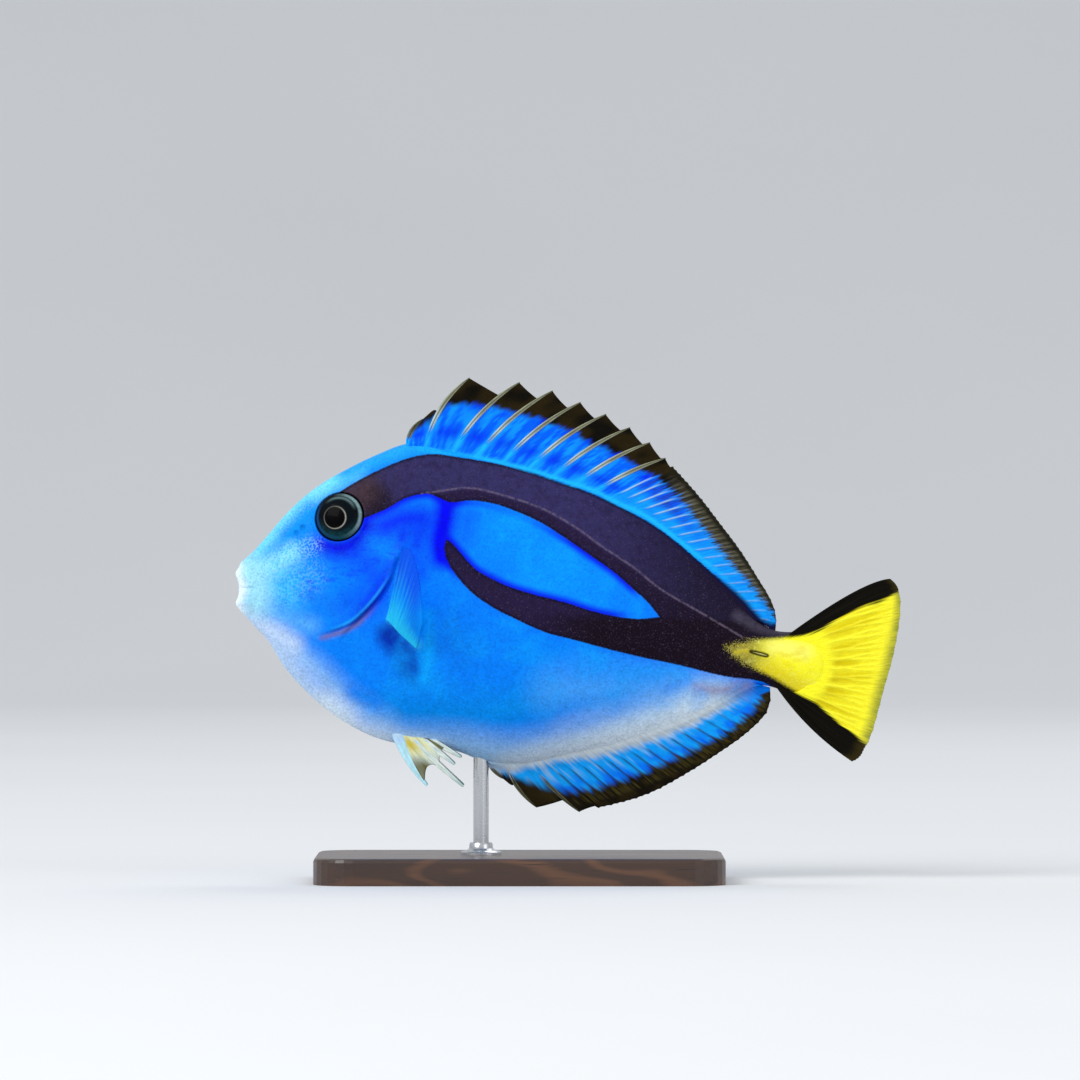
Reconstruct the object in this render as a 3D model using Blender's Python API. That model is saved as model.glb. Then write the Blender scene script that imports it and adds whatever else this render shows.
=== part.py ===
"""A regal blue tang, life size, as a still model on a small display stand.

The fish swims towards -X with its back up, and both its sides are alike about the plane Y = 0.
Its sizes are in millimetres. In the fish's own frame, x runs aft from the tip of the snout, y is
zero in the middle of the body, and z is the height above the mouth. The stand's frame has its
origin on the table, under the middle of the whole length.
"""

import math

import bmesh
import bpy
import numpy as np
from mathutils import Matrix, Vector

MM = 0.001
GAP = 0.3  # clearance between two pieces that touch
LEFT, RIGHT = -1, 1  # the sign of y on each side of a fish that faces -X
SIDES = {"left": LEFT, "right": RIGHT}

TOTAL_LENGTH = 150.0
MOUTH_HEIGHT = 66.0  # the mouth above the table
BODY_START, BODY_END = 1.5, 131.0  # the body without its lips and its tail fin

# Outline of the body, as (x, z)
BACK_POINTS = [
    (1.5, 6.0), (3.9, 8.1), (7.3, 11.9), (10.9, 16.1), (14.5, 19.7), (19.0, 23.2), (25.8, 27.1),
    (32.5, 30.3), (38.2, 32.4), (43.8, 32.5), (50.6, 31.4), (61.8, 28.7), (72.2, 25.4),
    (82.1, 21.7), (91.1, 16.9), (98.3, 11.4), (104.6, 5.8), (111.4, -1.0), (117.4, -7.0),
    (121.0, -9.4), (124.0, -9.9), (127.5, -9.6), (131.0, -9.0),
]
BELLY_POINTS = [
    (1.5, -5.4), (4.6, -8.9), (7.3, -11.8), (10.9, -17.6), (14.5, -21.8), (19.0, -26.1),
    (25.8, -30.9), (32.5, -34.0), (37.0, -35.1), (46.1, -35.8), (51.2, -37.2), (55.1, -38.8),
    (60.7, -39.8), (66.3, -39.6), (73.7, -38.0), (85.2, -35.6), (94.5, -32.5), (103.7, -28.9),
    (111.1, -24.8), (117.4, -21.9), (120.4, -22.2), (124.0, -23.4), (127.5, -24.6), (131.0, -25.9),
]
HALF_WIDTH_POINTS = [
    (1.5, 2.7), (6.0, 3.9), (12.0, 5.9), (20.0, 8.3), (28.0, 10.0), (36.0, 11.4), (46.0, 12.2),
    (58.0, 11.9), (72.0, 10.6), (86.0, 8.6), (98.0, 6.6), (108.0, 5.0), (116.0, 3.9),
    (122.0, 3.3), (127.0, 2.6), (131.0, 1.6),
]
# Shape of the cross-sections, as (x, value): where they are widest, from belly 0 to back 1, and
# how square they are above and below that, from 1 for a keel to 0.5 for a round edge
WIDEST_POINTS = [(1.5, 0.50), (24.0, 0.55), (50.0, 0.46), (110.0, 0.50), (131.0, 0.50)]
BACK_POWER_POINTS = [(1.5, 0.50), (24.0, 0.48), (48.0, 0.74), (110.0, 0.66), (131.0, 0.50)]
BELLY_POWER_POINTS = [(1.5, 0.50), (24.0, 0.62), (60.0, 0.64), (110.0, 0.60), (131.0, 0.50)]

# The mouth: two lips that stand out in front of the body, and the line between them
LIPS = [(3.3, 0.85, 1.4), (-3.4, 0.85, 1.3)]  # height, reach forwards, half height
SNOUT_BULGE = 0.75
SNOUT_DEPTH = 4.5  # how far back the shape of the lips is felt
LIP_ROUNDING = 2.6
MOUTH_LINE = {"z": -0.1, "half_height": 0.6, "depth": 0.45, "corner_x": 4.4}
TAIL_FLESH_BULGE = 3.0  # how far the flesh bows out into the tail fin
TAIL_FLESH_LENGTH = 12.0

# Edge of the gill cover, from above the nape to below the throat, as (x, z)
GILL_POINTS = [
    (37.4, 38.0), (38.0, 27.0), (39.0, 17.6), (38.6, 10.8), (36.8, 7.9), (35.2, 2.9),
    (33.7, -0.2), (30.5, -4.3), (26.7, -7.8), (23.2, -12.8), (20.8, -19.6), (19.4, -27.5),
    (18.8, -34.0),
]
GILL_COVER_LIFT = 0.55
GILL_COVER_RISE = (12.0, 27.0)  # where the cover starts to stand out, and where it does in full
TAIL_CUT_X = 113.5
SAFE = 60.0  # a cutter's reach beyond the body

# Each eye: its middle, how far that is under the skin, its radius and half its depth
EYE = {"x": 23.35, "z": 16.1, "sunk": 0.95, "radius": 5.45, "half_depth": 3.0}
EYE_TURN = (math.radians(14), math.radians(13))  # forwards, and up
NOSTRILS = [(15.3, 13.6, 0.62), (13.9, 12.4, 0.5)]  # x, z and radius
NOSTRIL_DEPTH, NOSTRIL_PROUD = 1.4, 0.2  # of the pit's cutter, and how far it starts outside

# The body's mesh, along and from belly to back. Its stations are closer at the snout: along its
# length they follow q * (1 + crowding * (q - 1)) for q from 0 to 1
STATIONS, LEVELS = 50, 18
STATION_CROWDING = 0.6
EYE_RINGS, PIT_RINGS = (18, 10), (8, 6)


def smooth_curve(points):
    """A function of the first value that runs smoothly through the points."""
    xs, zs = np.array(points, float).T
    slopes = np.gradient(zs, xs)

    def value(x):
        x = np.clip(x, xs[0], xs[-1])
        i = np.clip(np.searchsorted(xs, x) - 1, 0, len(xs) - 2)
        step = xs[i + 1] - xs[i]
        s = (x - xs[i]) / step
        return (
            zs[i] * (1 + 2 * s) * (1 - s) ** 2
            + slopes[i] * step * s * (1 - s) ** 2
            + zs[i + 1] * s**2 * (3 - 2 * s)
            + slopes[i + 1] * step * s**2 * (s - 1)
        )

    return value


def smooth_path(points):
    """A function from 0 to 1, by distance, along a smooth line through the points."""
    points = np.array(points, float)
    steps = np.linalg.norm(np.diff(points, axis=0), axis=1)
    reach = np.concatenate([[0.0], np.cumsum(steps)]) / steps.sum()
    parts = [smooth_curve(list(zip(reach, values))) for values in points.T]
    return lambda f: np.array([float(part(f)) for part in parts])


def ease(start, end, x):
    """0 before start, 1 after end and smooth between them."""
    s = np.clip((x - start) / (end - start), 0.0, 1.0)
    return s * s * (3 - 2 * s)


back_z = smooth_curve(BACK_POINTS)
belly_z = smooth_curve(BELLY_POINTS)
half_width = smooth_curve(HALF_WIDTH_POINTS)
widest = smooth_curve(WIDEST_POINTS)
back_power = smooth_curve(BACK_POWER_POINTS)
belly_power = smooth_curve(BELLY_POWER_POINTS)


def body_half_thickness(x, level):
    """Half the body's thickness at station x and level 0 (belly) to 1 (back)."""
    bend = math.log(0.5) / math.log(widest(x))
    power = belly_power(x) if level < widest(x) else back_power(x)
    section = max(math.sin(math.pi * level**bend), 0.0) ** power
    inside = min((x - BODY_START) / LIP_ROUNDING, 1.0)
    rounding = math.sqrt(max(1 - (1 - inside) ** 2, 0.0))
    return half_width(x) * section * rounding


def body_point(x, level, cover=0.0):
    """A point of the body's side. cover is how far the gill cover is raised there."""
    z = belly_z(x) + level * (back_z(x) - belly_z(x))
    lips = sum(reach * math.exp(-(((z - mid) / half) ** 2)) for mid, reach, half in LIPS)
    snout = lips + SNOUT_BULGE * math.sqrt(max(1 - (2 * level - 1) ** 2, 0.0))
    snout *= 1 - ease(BODY_START, BODY_START + SNOUT_DEPTH, x)
    bulge = TAIL_FLESH_BULGE * math.sin(math.pi * level)
    bulge *= ease(BODY_END - TAIL_FLESH_LENGTH, BODY_END, x)
    y = body_half_thickness(x, level)
    line = MOUTH_LINE
    groove = math.exp(-(((z - line["z"]) / line["half_height"]) ** 2))
    y -= min(y, line["depth"]) * groove * (1 - ease(line["corner_x"] - 1, line["corner_x"], x))
    y += cover * ease(*GILL_COVER_RISE, x) * math.sin(math.pi * level) ** 0.5
    return x - snout + bulge, y, z


def new_object(name, mesh):
    obj = bpy.data.objects.new(name, mesh)
    bpy.context.scene.collection.objects.link(obj)
    return obj


def solid(name, points, faces):
    """An object from points in millimetres, with its faces turned outwards."""
    mesh = bpy.data.meshes.new(name)
    mesh.from_pydata([Vector(map(float, p)) * MM for p in points], [], faces)
    shape = bmesh.new()
    shape.from_mesh(mesh)
    bmesh.ops.recalc_face_normals(shape, faces=shape.faces)
    shape.to_mesh(mesh)
    shape.free()
    return new_object(name, mesh)


def body_solid(name, cover=0.0, grow=0.0):
    """The whole body as one closed mesh. grow moves its surface outwards."""
    points, faces = [], []
    side = {LEFT: {}, RIGHT: {}}
    for i in range(STATIONS + 1):
        q = i / STATIONS
        x = BODY_START + (BODY_END - BODY_START) * q * (1 + STATION_CROWDING * (q - 1))
        for j in range(LEVELS + 1):
            level = (1 - math.cos(math.pi * j / LEVELS)) / 2
            px, py, pz = body_point(x, level, cover)
            shared = i == 0 or j in (0, LEVELS)
            for sign in (LEFT, RIGHT):
                if shared and sign == RIGHT:
                    side[RIGHT][i, j] = side[LEFT][i, j]
                    continue
                side[sign][i, j] = len(points)
                points.append((px, 0.0 if shared else sign * py, pz))
    for sign in (LEFT, RIGHT):
        at = side[sign]
        for i in range(STATIONS):
            for j in range(LEVELS):
                corners = [at[i, j], at[i + 1, j], at[i + 1, j + 1], at[i, j + 1]]
                faces += [corners[:3], [corners[0], corners[2], corners[3]]]
    for j in range(LEVELS):
        left, right = side[LEFT], side[RIGHT]
        corners = [left[STATIONS, j], right[STATIONS, j]]
        corners += [right[STATIONS, j + 1], left[STATIONS, j + 1]]
        faces.append(list(dict.fromkeys(corners)))
    body = solid(name, points, faces)
    normals = [normal.vector.copy() for normal in body.data.vertex_normals]
    for vertex, normal in zip(body.data.vertices, normals):
        vertex.co += normal * grow * MM
    return body


def prism(name, outline, half_depth):
    """A closed outline in x and z, as thick as twice half_depth."""
    count = len(outline)
    points = [(x, y, z) for y in (-half_depth, half_depth) for x, z in outline]
    faces = [list(range(count)), list(range(count, 2 * count))]
    for i in range(count):
        j = (i + 1) % count
        faces.append([i, j, count + j, count + i])
    return solid(name, points, faces)


def ellipsoid(name, centre, radii, turn=None, rings=EYE_RINGS):
    shape = bmesh.new()
    bmesh.ops.create_uvsphere(shape, u_segments=rings[0], v_segments=rings[1], radius=1.0)
    # The sphere's poles are turned to the sides, so that its rings lie round the pupil
    size = Matrix.Diagonal((radii[0] * MM, radii[1] * MM, radii[2] * MM, 1))
    poles = Matrix.Rotation(math.pi / 2, 4, "X")
    move = Matrix.Translation(Vector(centre) * MM)
    shape.transform(move @ (turn or Matrix.Identity(4)) @ size @ poles)
    mesh = bpy.data.meshes.new(name)
    shape.to_mesh(mesh)
    shape.free()
    return new_object(name, mesh)


def cylinder(name, radius, bottom, top, x, sides=28):
    shape = bmesh.new()
    bmesh.ops.create_cone(
        shape, cap_ends=True, segments=sides, radius1=radius * MM, radius2=radius * MM,
        depth=(top - bottom) * MM,
    )
    shape.transform(Matrix.Translation(Vector((x, 0, (bottom + top) / 2)) * MM))
    mesh = bpy.data.meshes.new(name)
    shape.to_mesh(mesh)
    shape.free()
    return new_object(name, mesh)


def apply_modifiers(obj):
    bpy.context.view_layer.update()
    made = obj.evaluated_get(bpy.context.evaluated_depsgraph_get())
    mesh = bpy.data.meshes.new_from_object(made)
    obj.modifiers.clear()
    obj.data = mesh


def combine(obj, other, operation):
    """Applies one Boolean with another object, and removes that one."""
    boolean = obj.modifiers.new(operation.lower(), "BOOLEAN")
    boolean.operation = operation
    boolean.solver = "EXACT"
    boolean.object = other
    apply_modifiers(obj)
    bpy.data.objects.remove(other)
    keep_largest(obj)


def keep_largest(obj):
    """Leaves only the largest closed surface of the object."""
    shape = bmesh.new()
    shape.from_mesh(obj.data)
    left, pieces = set(shape.verts), []
    while left:
        piece, edge = set(), [left.pop()]
        while edge:
            vertex = edge.pop()
            piece.add(vertex)
            for link in vertex.link_edges:
                other = link.other_vert(vertex)
                if other in left:
                    left.remove(other)
                    edge.append(other)
        pieces.append(piece)
    pieces.sort(key=len)
    loose = [vertex for piece in pieces[:-1] for vertex in piece]
    bmesh.ops.delete(shape, geom=loose, context="VERTS")
    shape.to_mesh(obj.data)
    shape.free()


def shifted(line, distance):
    """The line moved sideways, towards the tail for a line that runs down."""
    line = np.array(line, float)
    along = np.gradient(line, axis=0)
    along /= np.linalg.norm(along, axis=1)[:, None]
    across = np.stack([-along[:, 1], along[:, 0]], axis=1)
    return [tuple(p) for p in line + across * distance]


def body_pieces():
    """The head, trunk and tail stem, parted along the gill cover and before the tail."""
    head = body_solid("head", cover=GILL_COVER_LIFT)
    before_gill = shifted(GILL_POINTS, -GAP / 2)
    front = [(-SAFE, before_gill[-1][1]), (-SAFE, before_gill[0][1])]
    combine(head, prism("before_gill", before_gill + front, SAFE), "INTERSECT")

    trunk = body_solid("trunk")
    after_gill = shifted(GILL_POINTS, GAP / 2)
    end = TAIL_CUT_X - GAP / 2
    top_x, bottom_x = after_gill[0][0], after_gill[-1][0]
    rear = [(bottom_x, -SAFE), (end, -SAFE), (end, SAFE), (top_x, SAFE)]
    combine(trunk, prism("behind_gill", after_gill + rear, SAFE), "INTERSECT")

    stem = body_solid("tail_stem")
    start = TAIL_CUT_X + GAP / 2
    block = [(start, -SAFE), (start, SAFE), (start + SAFE, SAFE), (start + SAFE, -SAFE)]
    combine(stem, prism("behind_cut", block, SAFE), "INTERSECT")
    return head, trunk, stem


def side_y(x, z):
    """How far the body's side is from the middle at x and z."""
    level = (z - belly_z(x)) / (back_z(x) - belly_z(x))
    return body_half_thickness(x, level)


def eye_turn(sign):
    forwards, up = EYE_TURN
    return Matrix.Rotation(sign * forwards, 4, "Z") @ Matrix.Rotation(sign * up, 4, "X")


def eyes(head):
    """An eye in a socket on each side of the head."""
    made = []
    for side, sign in SIDES.items():
        out = side_y(EYE["x"], EYE["z"]) - EYE["sunk"]
        centre = (EYE["x"], sign * out, EYE["z"])
        sizes = (EYE["radius"], EYE["half_depth"], EYE["radius"])
        made.append(ellipsoid(f"eye_{side}", centre, sizes, eye_turn(sign)))
        socket = tuple(size + GAP for size in sizes)
        combine(head, ellipsoid("socket", centre, socket, eye_turn(sign)), "DIFFERENCE")
    return made


def nostrils(head):
    """Two small pits before each eye."""
    for sign in SIDES.values():
        for x, z, radius in NOSTRILS:
            centre = (x, sign * (side_y(x, z) + NOSTRIL_PROUD), z)
            pit = ellipsoid("pit", centre, (radius, NOSTRIL_DEPTH, radius), rings=PIT_RINGS)
            combine(head, pit, "DIFFERENCE")


# Columns of mesh across a web: beside each ray where it is deep, as shares of the ray's length
# that they reach, and at these shares of the way across a soft one
RAY_FOOT_REACH, NEXT_RAY_FOOT_REACH, WIDEST_FOOT = 0.99, 0.98, 0.22
SOFT_WEB_COLUMNS = (0.24, 0.76)
RIDGE_TIP_FADE = 6  # how late a ray's ridge fades towards its tip


class Ray:
    """A fin ray or spine: a bent line from its root on the body to its tip. It bows by bow
    towards the left of its way out, most of all a share bend of that way."""

    def __init__(self, root, tip, bow=0.0, bend=0.5):
        self.root, self.tip = np.array(root, float), np.array(tip, float)
        along = self.tip - self.root
        self.length = np.linalg.norm(along)
        across = np.array([-along[2], 0.0, along[0]]) / self.length
        self.elbow = self.root + bend * along + 2 * bow * across

    def at(self, v):
        """The point a share v of the way out, or below the skin where v is negative."""
        if v < 0:
            return self.root + 2 * v * (self.elbow - self.root)
        near, far = (1 - v) ** 2 * self.root, v**2 * self.tip
        return near + 2 * v * (1 - v) * self.elbow + far


class Web:
    """The membrane behind a ray. near and far are how far short of the two rays' tips it stops,
    as shares of their length, and sag is how far it dips between them."""

    def __init__(self, near=0.0, far=0.0, sag=0.0, deep=False):
        self.near, self.far, self.sag, self.deep = near, far, sag, deep

    def reach(self, f):
        return 1 - (self.near * (1 - f) + self.far * f + 4 * self.sag * f * (1 - f))


def fin_columns(rays, webs, flank):
    """Columns of a fin's mesh, as (ray, share of the way to the next, ridge, reach).

    flank is half the width of a ray, in millimetres where the webs are deep.
    """
    columns = []
    for k, web in enumerate(webs):
        columns.append((k, 0.0, 1.0, 1.0))
        if web.deep:
            gap = np.linalg.norm(rays[k + 1].at(0.6) - rays[k].at(0.6))
            near = min(flank / gap, WIDEST_FOOT)
            far = 1 - 2 * near
            columns += [(k, near, 0.0, RAY_FOOT_REACH), (k, 0.5, 0.0, web.reach(0.5))]
            columns += [(k, far, 0.0, web.reach(1.0)), (k, 1 - near, 0.0, NEXT_RAY_FOOT_REACH)]
        else:
            columns += [(k, f, 0.0, web.reach(f)) for f in SOFT_WEB_COLUMNS]
    columns.append((len(rays) - 2, 1.0, 1.0, 1.0))
    return columns


def fin_solid(name, rays, webs, thickness, ridge, rows, sunk, flank=0.5, normal=None):
    """A fin as one closed sheet whose rays are ridges in its own two faces.

    thickness gives half of it at the root and at the rim, and how fast it thins. ridge is
    the rays' height over the membrane at the root and near the tip.
    """
    columns = fin_columns(rays, webs, flank)
    root_half, rim_half, thinning = thickness
    grid = np.zeros((len(columns), rows + 1, 3))
    half = np.zeros((len(columns), rows + 1))
    for c, (k, f, rise, reach) in enumerate(columns):
        first, second = rays[k], rays[k + 1]
        length = (1 - f) * first.length + f * second.length
        for r in range(rows + 1):
            v = -sunk / length + (reach + sunk / length) * r / rows
            grid[c, r] = (1 - f) * first.at(v) + f * second.at(v)
            out = min(max(v, 0.0), 1.0)
            half[c, r] = rim_half + (root_half - rim_half) * (1 - out) ** thinning
            height = ridge[0] + (ridge[1] - ridge[0]) * out
            half[c, r] += rise * height * (1 - out**RIDGE_TIP_FADE)
    if normal is None:
        across, along = np.gradient(grid, axis=0), np.gradient(grid, axis=1)
        normals = np.cross(across, along)
        normals /= np.linalg.norm(normals, axis=2)[:, :, None]
    else:
        normals = np.broadcast_to(np.array(normal, float), grid.shape)
    return sheet_solid(name, grid + normals * half[:, :, None], grid - normals * half[:, :, None])


def sheet_solid(name, front, back):
    """Two grids of points closed round their rims, with triangles alike on both."""
    wide, high = front.shape[:2]
    points = list(front.reshape(-1, 3)) + list(back.reshape(-1, 3))

    def at(c, r, face):
        return face * wide * high + c * high + r

    faces = []
    for c in range(wide - 1):
        for r in range(high - 1):
            for face in (0, 1):
                a, b = at(c, r, face), at(c + 1, r, face)
                d, e = at(c, r + 1, face), at(c + 1, r + 1, face)
                faces += [[a, b, e], [a, e, d]]
    rim = [(c, 0) for c in range(wide)] + [(wide - 1, r) for r in range(1, high)]
    rim += [(c, high - 1) for c in range(wide - 2, -1, -1)]
    rim += [(0, r) for r in range(high - 2, 0, -1)]
    for (c, r), (d, s) in zip(rim, rim[1:] + rim[:1]):
        a, b, e, g = at(c, r, 0), at(d, s, 0), at(d, s, 1), at(c, r, 1)
        faces += [[a, b, e], [a, e, g]]
    return solid(name, points, faces)


def in_middle(x, z):
    """A point in the middle plane."""
    return (x, 0.0, z)


# Each fin's sheet: half its thickness at the root and at the rim and how fast it thins, the height
# of its rays over the membrane near root and tip, its rows of mesh, and how far it is let into
# the body
MEDIAN_SHEET = {"thickness": (1.05, 0.25, 1.6), "ridge": (0.34, 0.16), "rows": 5, "sunk": 1.8}
TAIL_SHEET = {"thickness": (1.0, 0.25, 1.4), "ridge": (0.32, 0.14), "rows": 7, "sunk": 2.4}
PECTORAL_SHEET = {"thickness": (1.15, 0.25, 3.0), "ridge": (0.2, 0.12), "rows": 6, "sunk": 2.6}
PELVIC_SHEET = {"thickness": (0.5, 0.26, 1.0), "ridge": (0.45, 0.3), "rows": 6, "sunk": 1.6,
                "flank": 0.8}
# How far the edge of the membrane dips between two rays, as a share of their length
MEDIAN_SAG, TAIL_SAG, PECTORAL_SAG, PELVIC_SAG = 0.012, 0.008, 0.02, 0.05

# Dorsal fin: nine spines, then nineteen soft rays. Each spine has the x of its root on the back,
# its tip as (x, z), and how far it bows forwards
DORSAL_SPINES = [
    (38.7, (42.4, 38.1), 0.7), (43.0, (52.8, 47.4), 1.6), (49.4, (64.1, 46.4), 1.3),
    (55.0, (71.6, 44.5), 1.2), (60.9, (77.9, 41.9), 1.1), (66.5, (83.6, 39.2), 1.0),
    (71.9, (89.0, 36.2), 0.9), (77.0, (93.5, 32.8), 0.8), (81.4, (97.0, 29.3), 0.6),
]
DORSAL_WEBS = [(0.0, 0.60), (0.0, 0.25), (0.0, 0.17), (0.0, 0.14), (0.0, 0.12), (0.0, 0.10),
               (0.0, 0.08), (0.0, 0.05), (0.0, 0.03)]
WEB_CROWN = -0.02  # the membrane between two spines rises a little in the middle
DORSAL_SOFT_COUNT = 19
DORSAL_SOFT_ROOTS = (84.8, 119.0)
DORSAL_SOFT_MARGIN = [
    (98.6, 27.4), (102.4, 23.2), (104.8, 20.4), (109.2, 14.6), (113.7, 8.6), (118.1, 1.6),
    (120.5, -2.4), (121.8, -5.8), (121.9, -8.3),
]
# Anal fin: three spines, then eighteen soft rays
ANAL_SPINES = [
    (57.0, (60.4, -43.0), -0.3), (61.0, (68.0, -49.5), -0.9), (66.6, (77.6, -50.5), -0.6),
]
ANAL_WEBS = [(0.0, 0.62), (0.0, 0.28), (0.0, 0.04)]
ANAL_SOFT_COUNT = 18
ANAL_SOFT_ROOTS = (69.8, 118.6)
ANAL_SOFT_MARGIN = [
    (81.8, -49.6), (86.6, -48.5), (91.1, -47.2), (95.6, -45.3), (100.1, -42.8), (104.6, -40.1),
    (109.1, -37.1), (113.6, -34.0), (117.0, -31.1), (119.6, -28.3), (120.5, -25.0), (120.2, -22.6),
]
# Tail fin: sixteen rays that fan out from the end of the stem
TAIL_RAY_COUNT = 16
TAIL_ROOTS = [(125.2, -10.0), (129.8, -10.9), (132.7, -15.0), (132.9, -18.4), (131.6, -22.4),
              (128.4, -24.8), (122.4, -23.2)]
TAIL_TIPS = [
    (147.8, 2.2), (149.8, -0.6), (149.8, -5.0), (149.0, -11.9), (147.6, -18.0), (146.3, -22.3),
    (144.8, -28.2), (142.9, -34.4), (141.2, -37.4), (139.0, -39.2),
]
TAIL_EDGE_BOW = (1.3, -1.1)  # of the upper and the lower edge
TAIL_EDGE_BEND = (0.78, 0.5)
# Pectoral fins, raised and spread, and pelvic fins of one spine and three rays
PECTORAL_RAY_COUNT = 12
PECTORAL_ROOT = ((34.4, -6.7), (41.2, -13.0))  # front and back ends, as (x, z)
PECTORAL_RAYS = [  # share along the root, then x, outward and z of the ray
    (0.0, (3.6, 15.6, 15.4)), (0.12, (4.3, 17.8, 16.8)), (0.35, (4.7, 18.3, 13.2)),
    (0.65, (3.4, 15.3, 9.3)), (1.0, (1.2, 10.4, 5.3)),
]
PELVIC_ROOT_Y, PELVIC_ROOT_LIFT = 2.1, 1.0
PELVIC_RAYS = [  # root x, then tip x, outward and z, and its bow
    (34.6, (43.3, 5.4, -44.5), -0.9), (38.0, (51.5, 7.2, -44.6), -0.2),
    (41.1, (49.5, 5.4, -39.7), 0.0), (42.9, (51.0, 4.2, -38.1), 0.0),
]
PELVIC_WEBS = [(0.04, 0.44), (0.42, 0.40), (0.40, 0.50)]

# The folded blade beside the tail: its tip and its root, and how far it is let into the stem
TAIL_BLADE = {"x": (116.2, 120.4), "z": (-14.5, -15.3), "half_height": 0.5, "stand_out": 0.5}
BLADE_SUNK, BLADE_HEEL, BLADE_TIP_PROUD = 0.8, (1.2, 0.4), 0.1

ROD_X, ROD_RADIUS, ROD_SUNK = 55.3, 1.75, 5.0
BASE_LENGTH, BASE_WIDTH, BASE_THICKNESS = 92.0, 58.0, 6.0
BASE_X, BASE_CORNER, BASE_BEVEL = 64.0, 9.0, 0.9
BASE_SOCKET_DEPTH = 4.0
ROD_HOLE_REACH = (1.0, 4.0)  # how far the holes' cutters run out of the base and the belly
CORNER_STEPS, BEVEL_STEPS = 7, 2


def fleshed(fin):
    """Cuts away what of the fin lies in the body, and a gap more."""
    combine(fin, body_solid("skin", grow=GAP), "DIFFERENCE")
    return fin


def median_fin(name, ridge_z, spines, spine_webs, soft_count, soft_roots, soft_margin):
    """A fin along the back or the belly."""
    rays = [Ray(in_middle(x, ridge_z(x)), in_middle(*tip), bow) for x, tip, bow in spines]
    webs = [Web(near, far, WEB_CROWN, deep=True) for near, far in spine_webs]
    margin = smooth_path(soft_margin)
    for i in range(soft_count):
        f = i / (soft_count - 1)
        x = soft_roots[0] + (soft_roots[1] - soft_roots[0]) * f
        rays.append(Ray(in_middle(x, ridge_z(x)), in_middle(*margin(f))))
        webs.append(Web(sag=MEDIAN_SAG))
    webs.pop()
    return fleshed(fin_solid(name, rays, webs, **MEDIAN_SHEET, normal=(0, 1, 0)))


def dorsal_fin():
    return median_fin(
        "dorsal_fin", back_z, DORSAL_SPINES, DORSAL_WEBS, DORSAL_SOFT_COUNT,
        DORSAL_SOFT_ROOTS, DORSAL_SOFT_MARGIN,
    )


def anal_fin():
    return median_fin(
        "anal_fin", belly_z, ANAL_SPINES, ANAL_WEBS, ANAL_SOFT_COUNT, ANAL_SOFT_ROOTS,
        ANAL_SOFT_MARGIN,
    )


def tail_fin():
    roots, tips = smooth_path(TAIL_ROOTS), smooth_path(TAIL_TIPS)
    rays, webs = [], []
    for i in range(TAIL_RAY_COUNT):
        f = i / (TAIL_RAY_COUNT - 1)
        upper, lower = TAIL_EDGE_BOW
        bow = upper * max(1 - 3 * f, 0) + lower * max(3 * f - 2, 0)
        bend = TAIL_EDGE_BEND[0] + (TAIL_EDGE_BEND[1] - TAIL_EDGE_BEND[0]) * min(3 * f, 1)
        rays.append(Ray(in_middle(*roots(f)), in_middle(*tips(f)), bow, bend))
        webs.append(Web(sag=TAIL_SAG))
    webs.pop()
    return fleshed(fin_solid("tail_fin", rays, webs, **TAIL_SHEET, normal=(0, 1, 0)))


def pectoral_fin(side, sign):
    """A fin on the flank behind the gill cover, with a thick root."""
    (x0, z0), (x1, z1) = PECTORAL_ROOT
    shares = [share for share, _ in PECTORAL_RAYS]
    parts = [smooth_curve(list(zip(shares, part))) for part in zip(*(r for _, r in PECTORAL_RAYS))]
    rays = []
    for i in range(PECTORAL_RAY_COUNT):
        f = i / (PECTORAL_RAY_COUNT - 1)
        x, z = x0 + (x1 - x0) * f, z0 + (z1 - z0) * f
        y = side_y(x, z)
        dx, dy, dz = (float(part(f)) for part in parts)
        rays.append(Ray((x, sign * y, z), (x + dx, sign * (y + dy), z + dz)))
    webs = [Web(sag=PECTORAL_SAG) for _ in rays[1:]]
    return fleshed(fin_solid(f"pectoral_fin_{side}", rays, webs, **PECTORAL_SHEET))


def pelvic_fin(side, sign):
    """A fin under the belly: a stout spine and three rays with free tips."""
    rays = []
    for x, (tip_x, out, tip_z), bow in PELVIC_RAYS:
        root = (x, sign * PELVIC_ROOT_Y, belly_z(x) + PELVIC_ROOT_LIFT)
        rays.append(Ray(root, (tip_x, sign * out, tip_z), bow))
    webs = [Web(near, far, PELVIC_SAG, deep=True) for near, far in PELVIC_WEBS]
    across = np.cross(rays[0].tip - rays[0].root, rays[-1].tip - rays[-1].root)
    across /= np.linalg.norm(across)
    return fleshed(fin_solid(f"pelvic_fin_{side}", rays, webs, **PELVIC_SHEET, normal=across))


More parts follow.
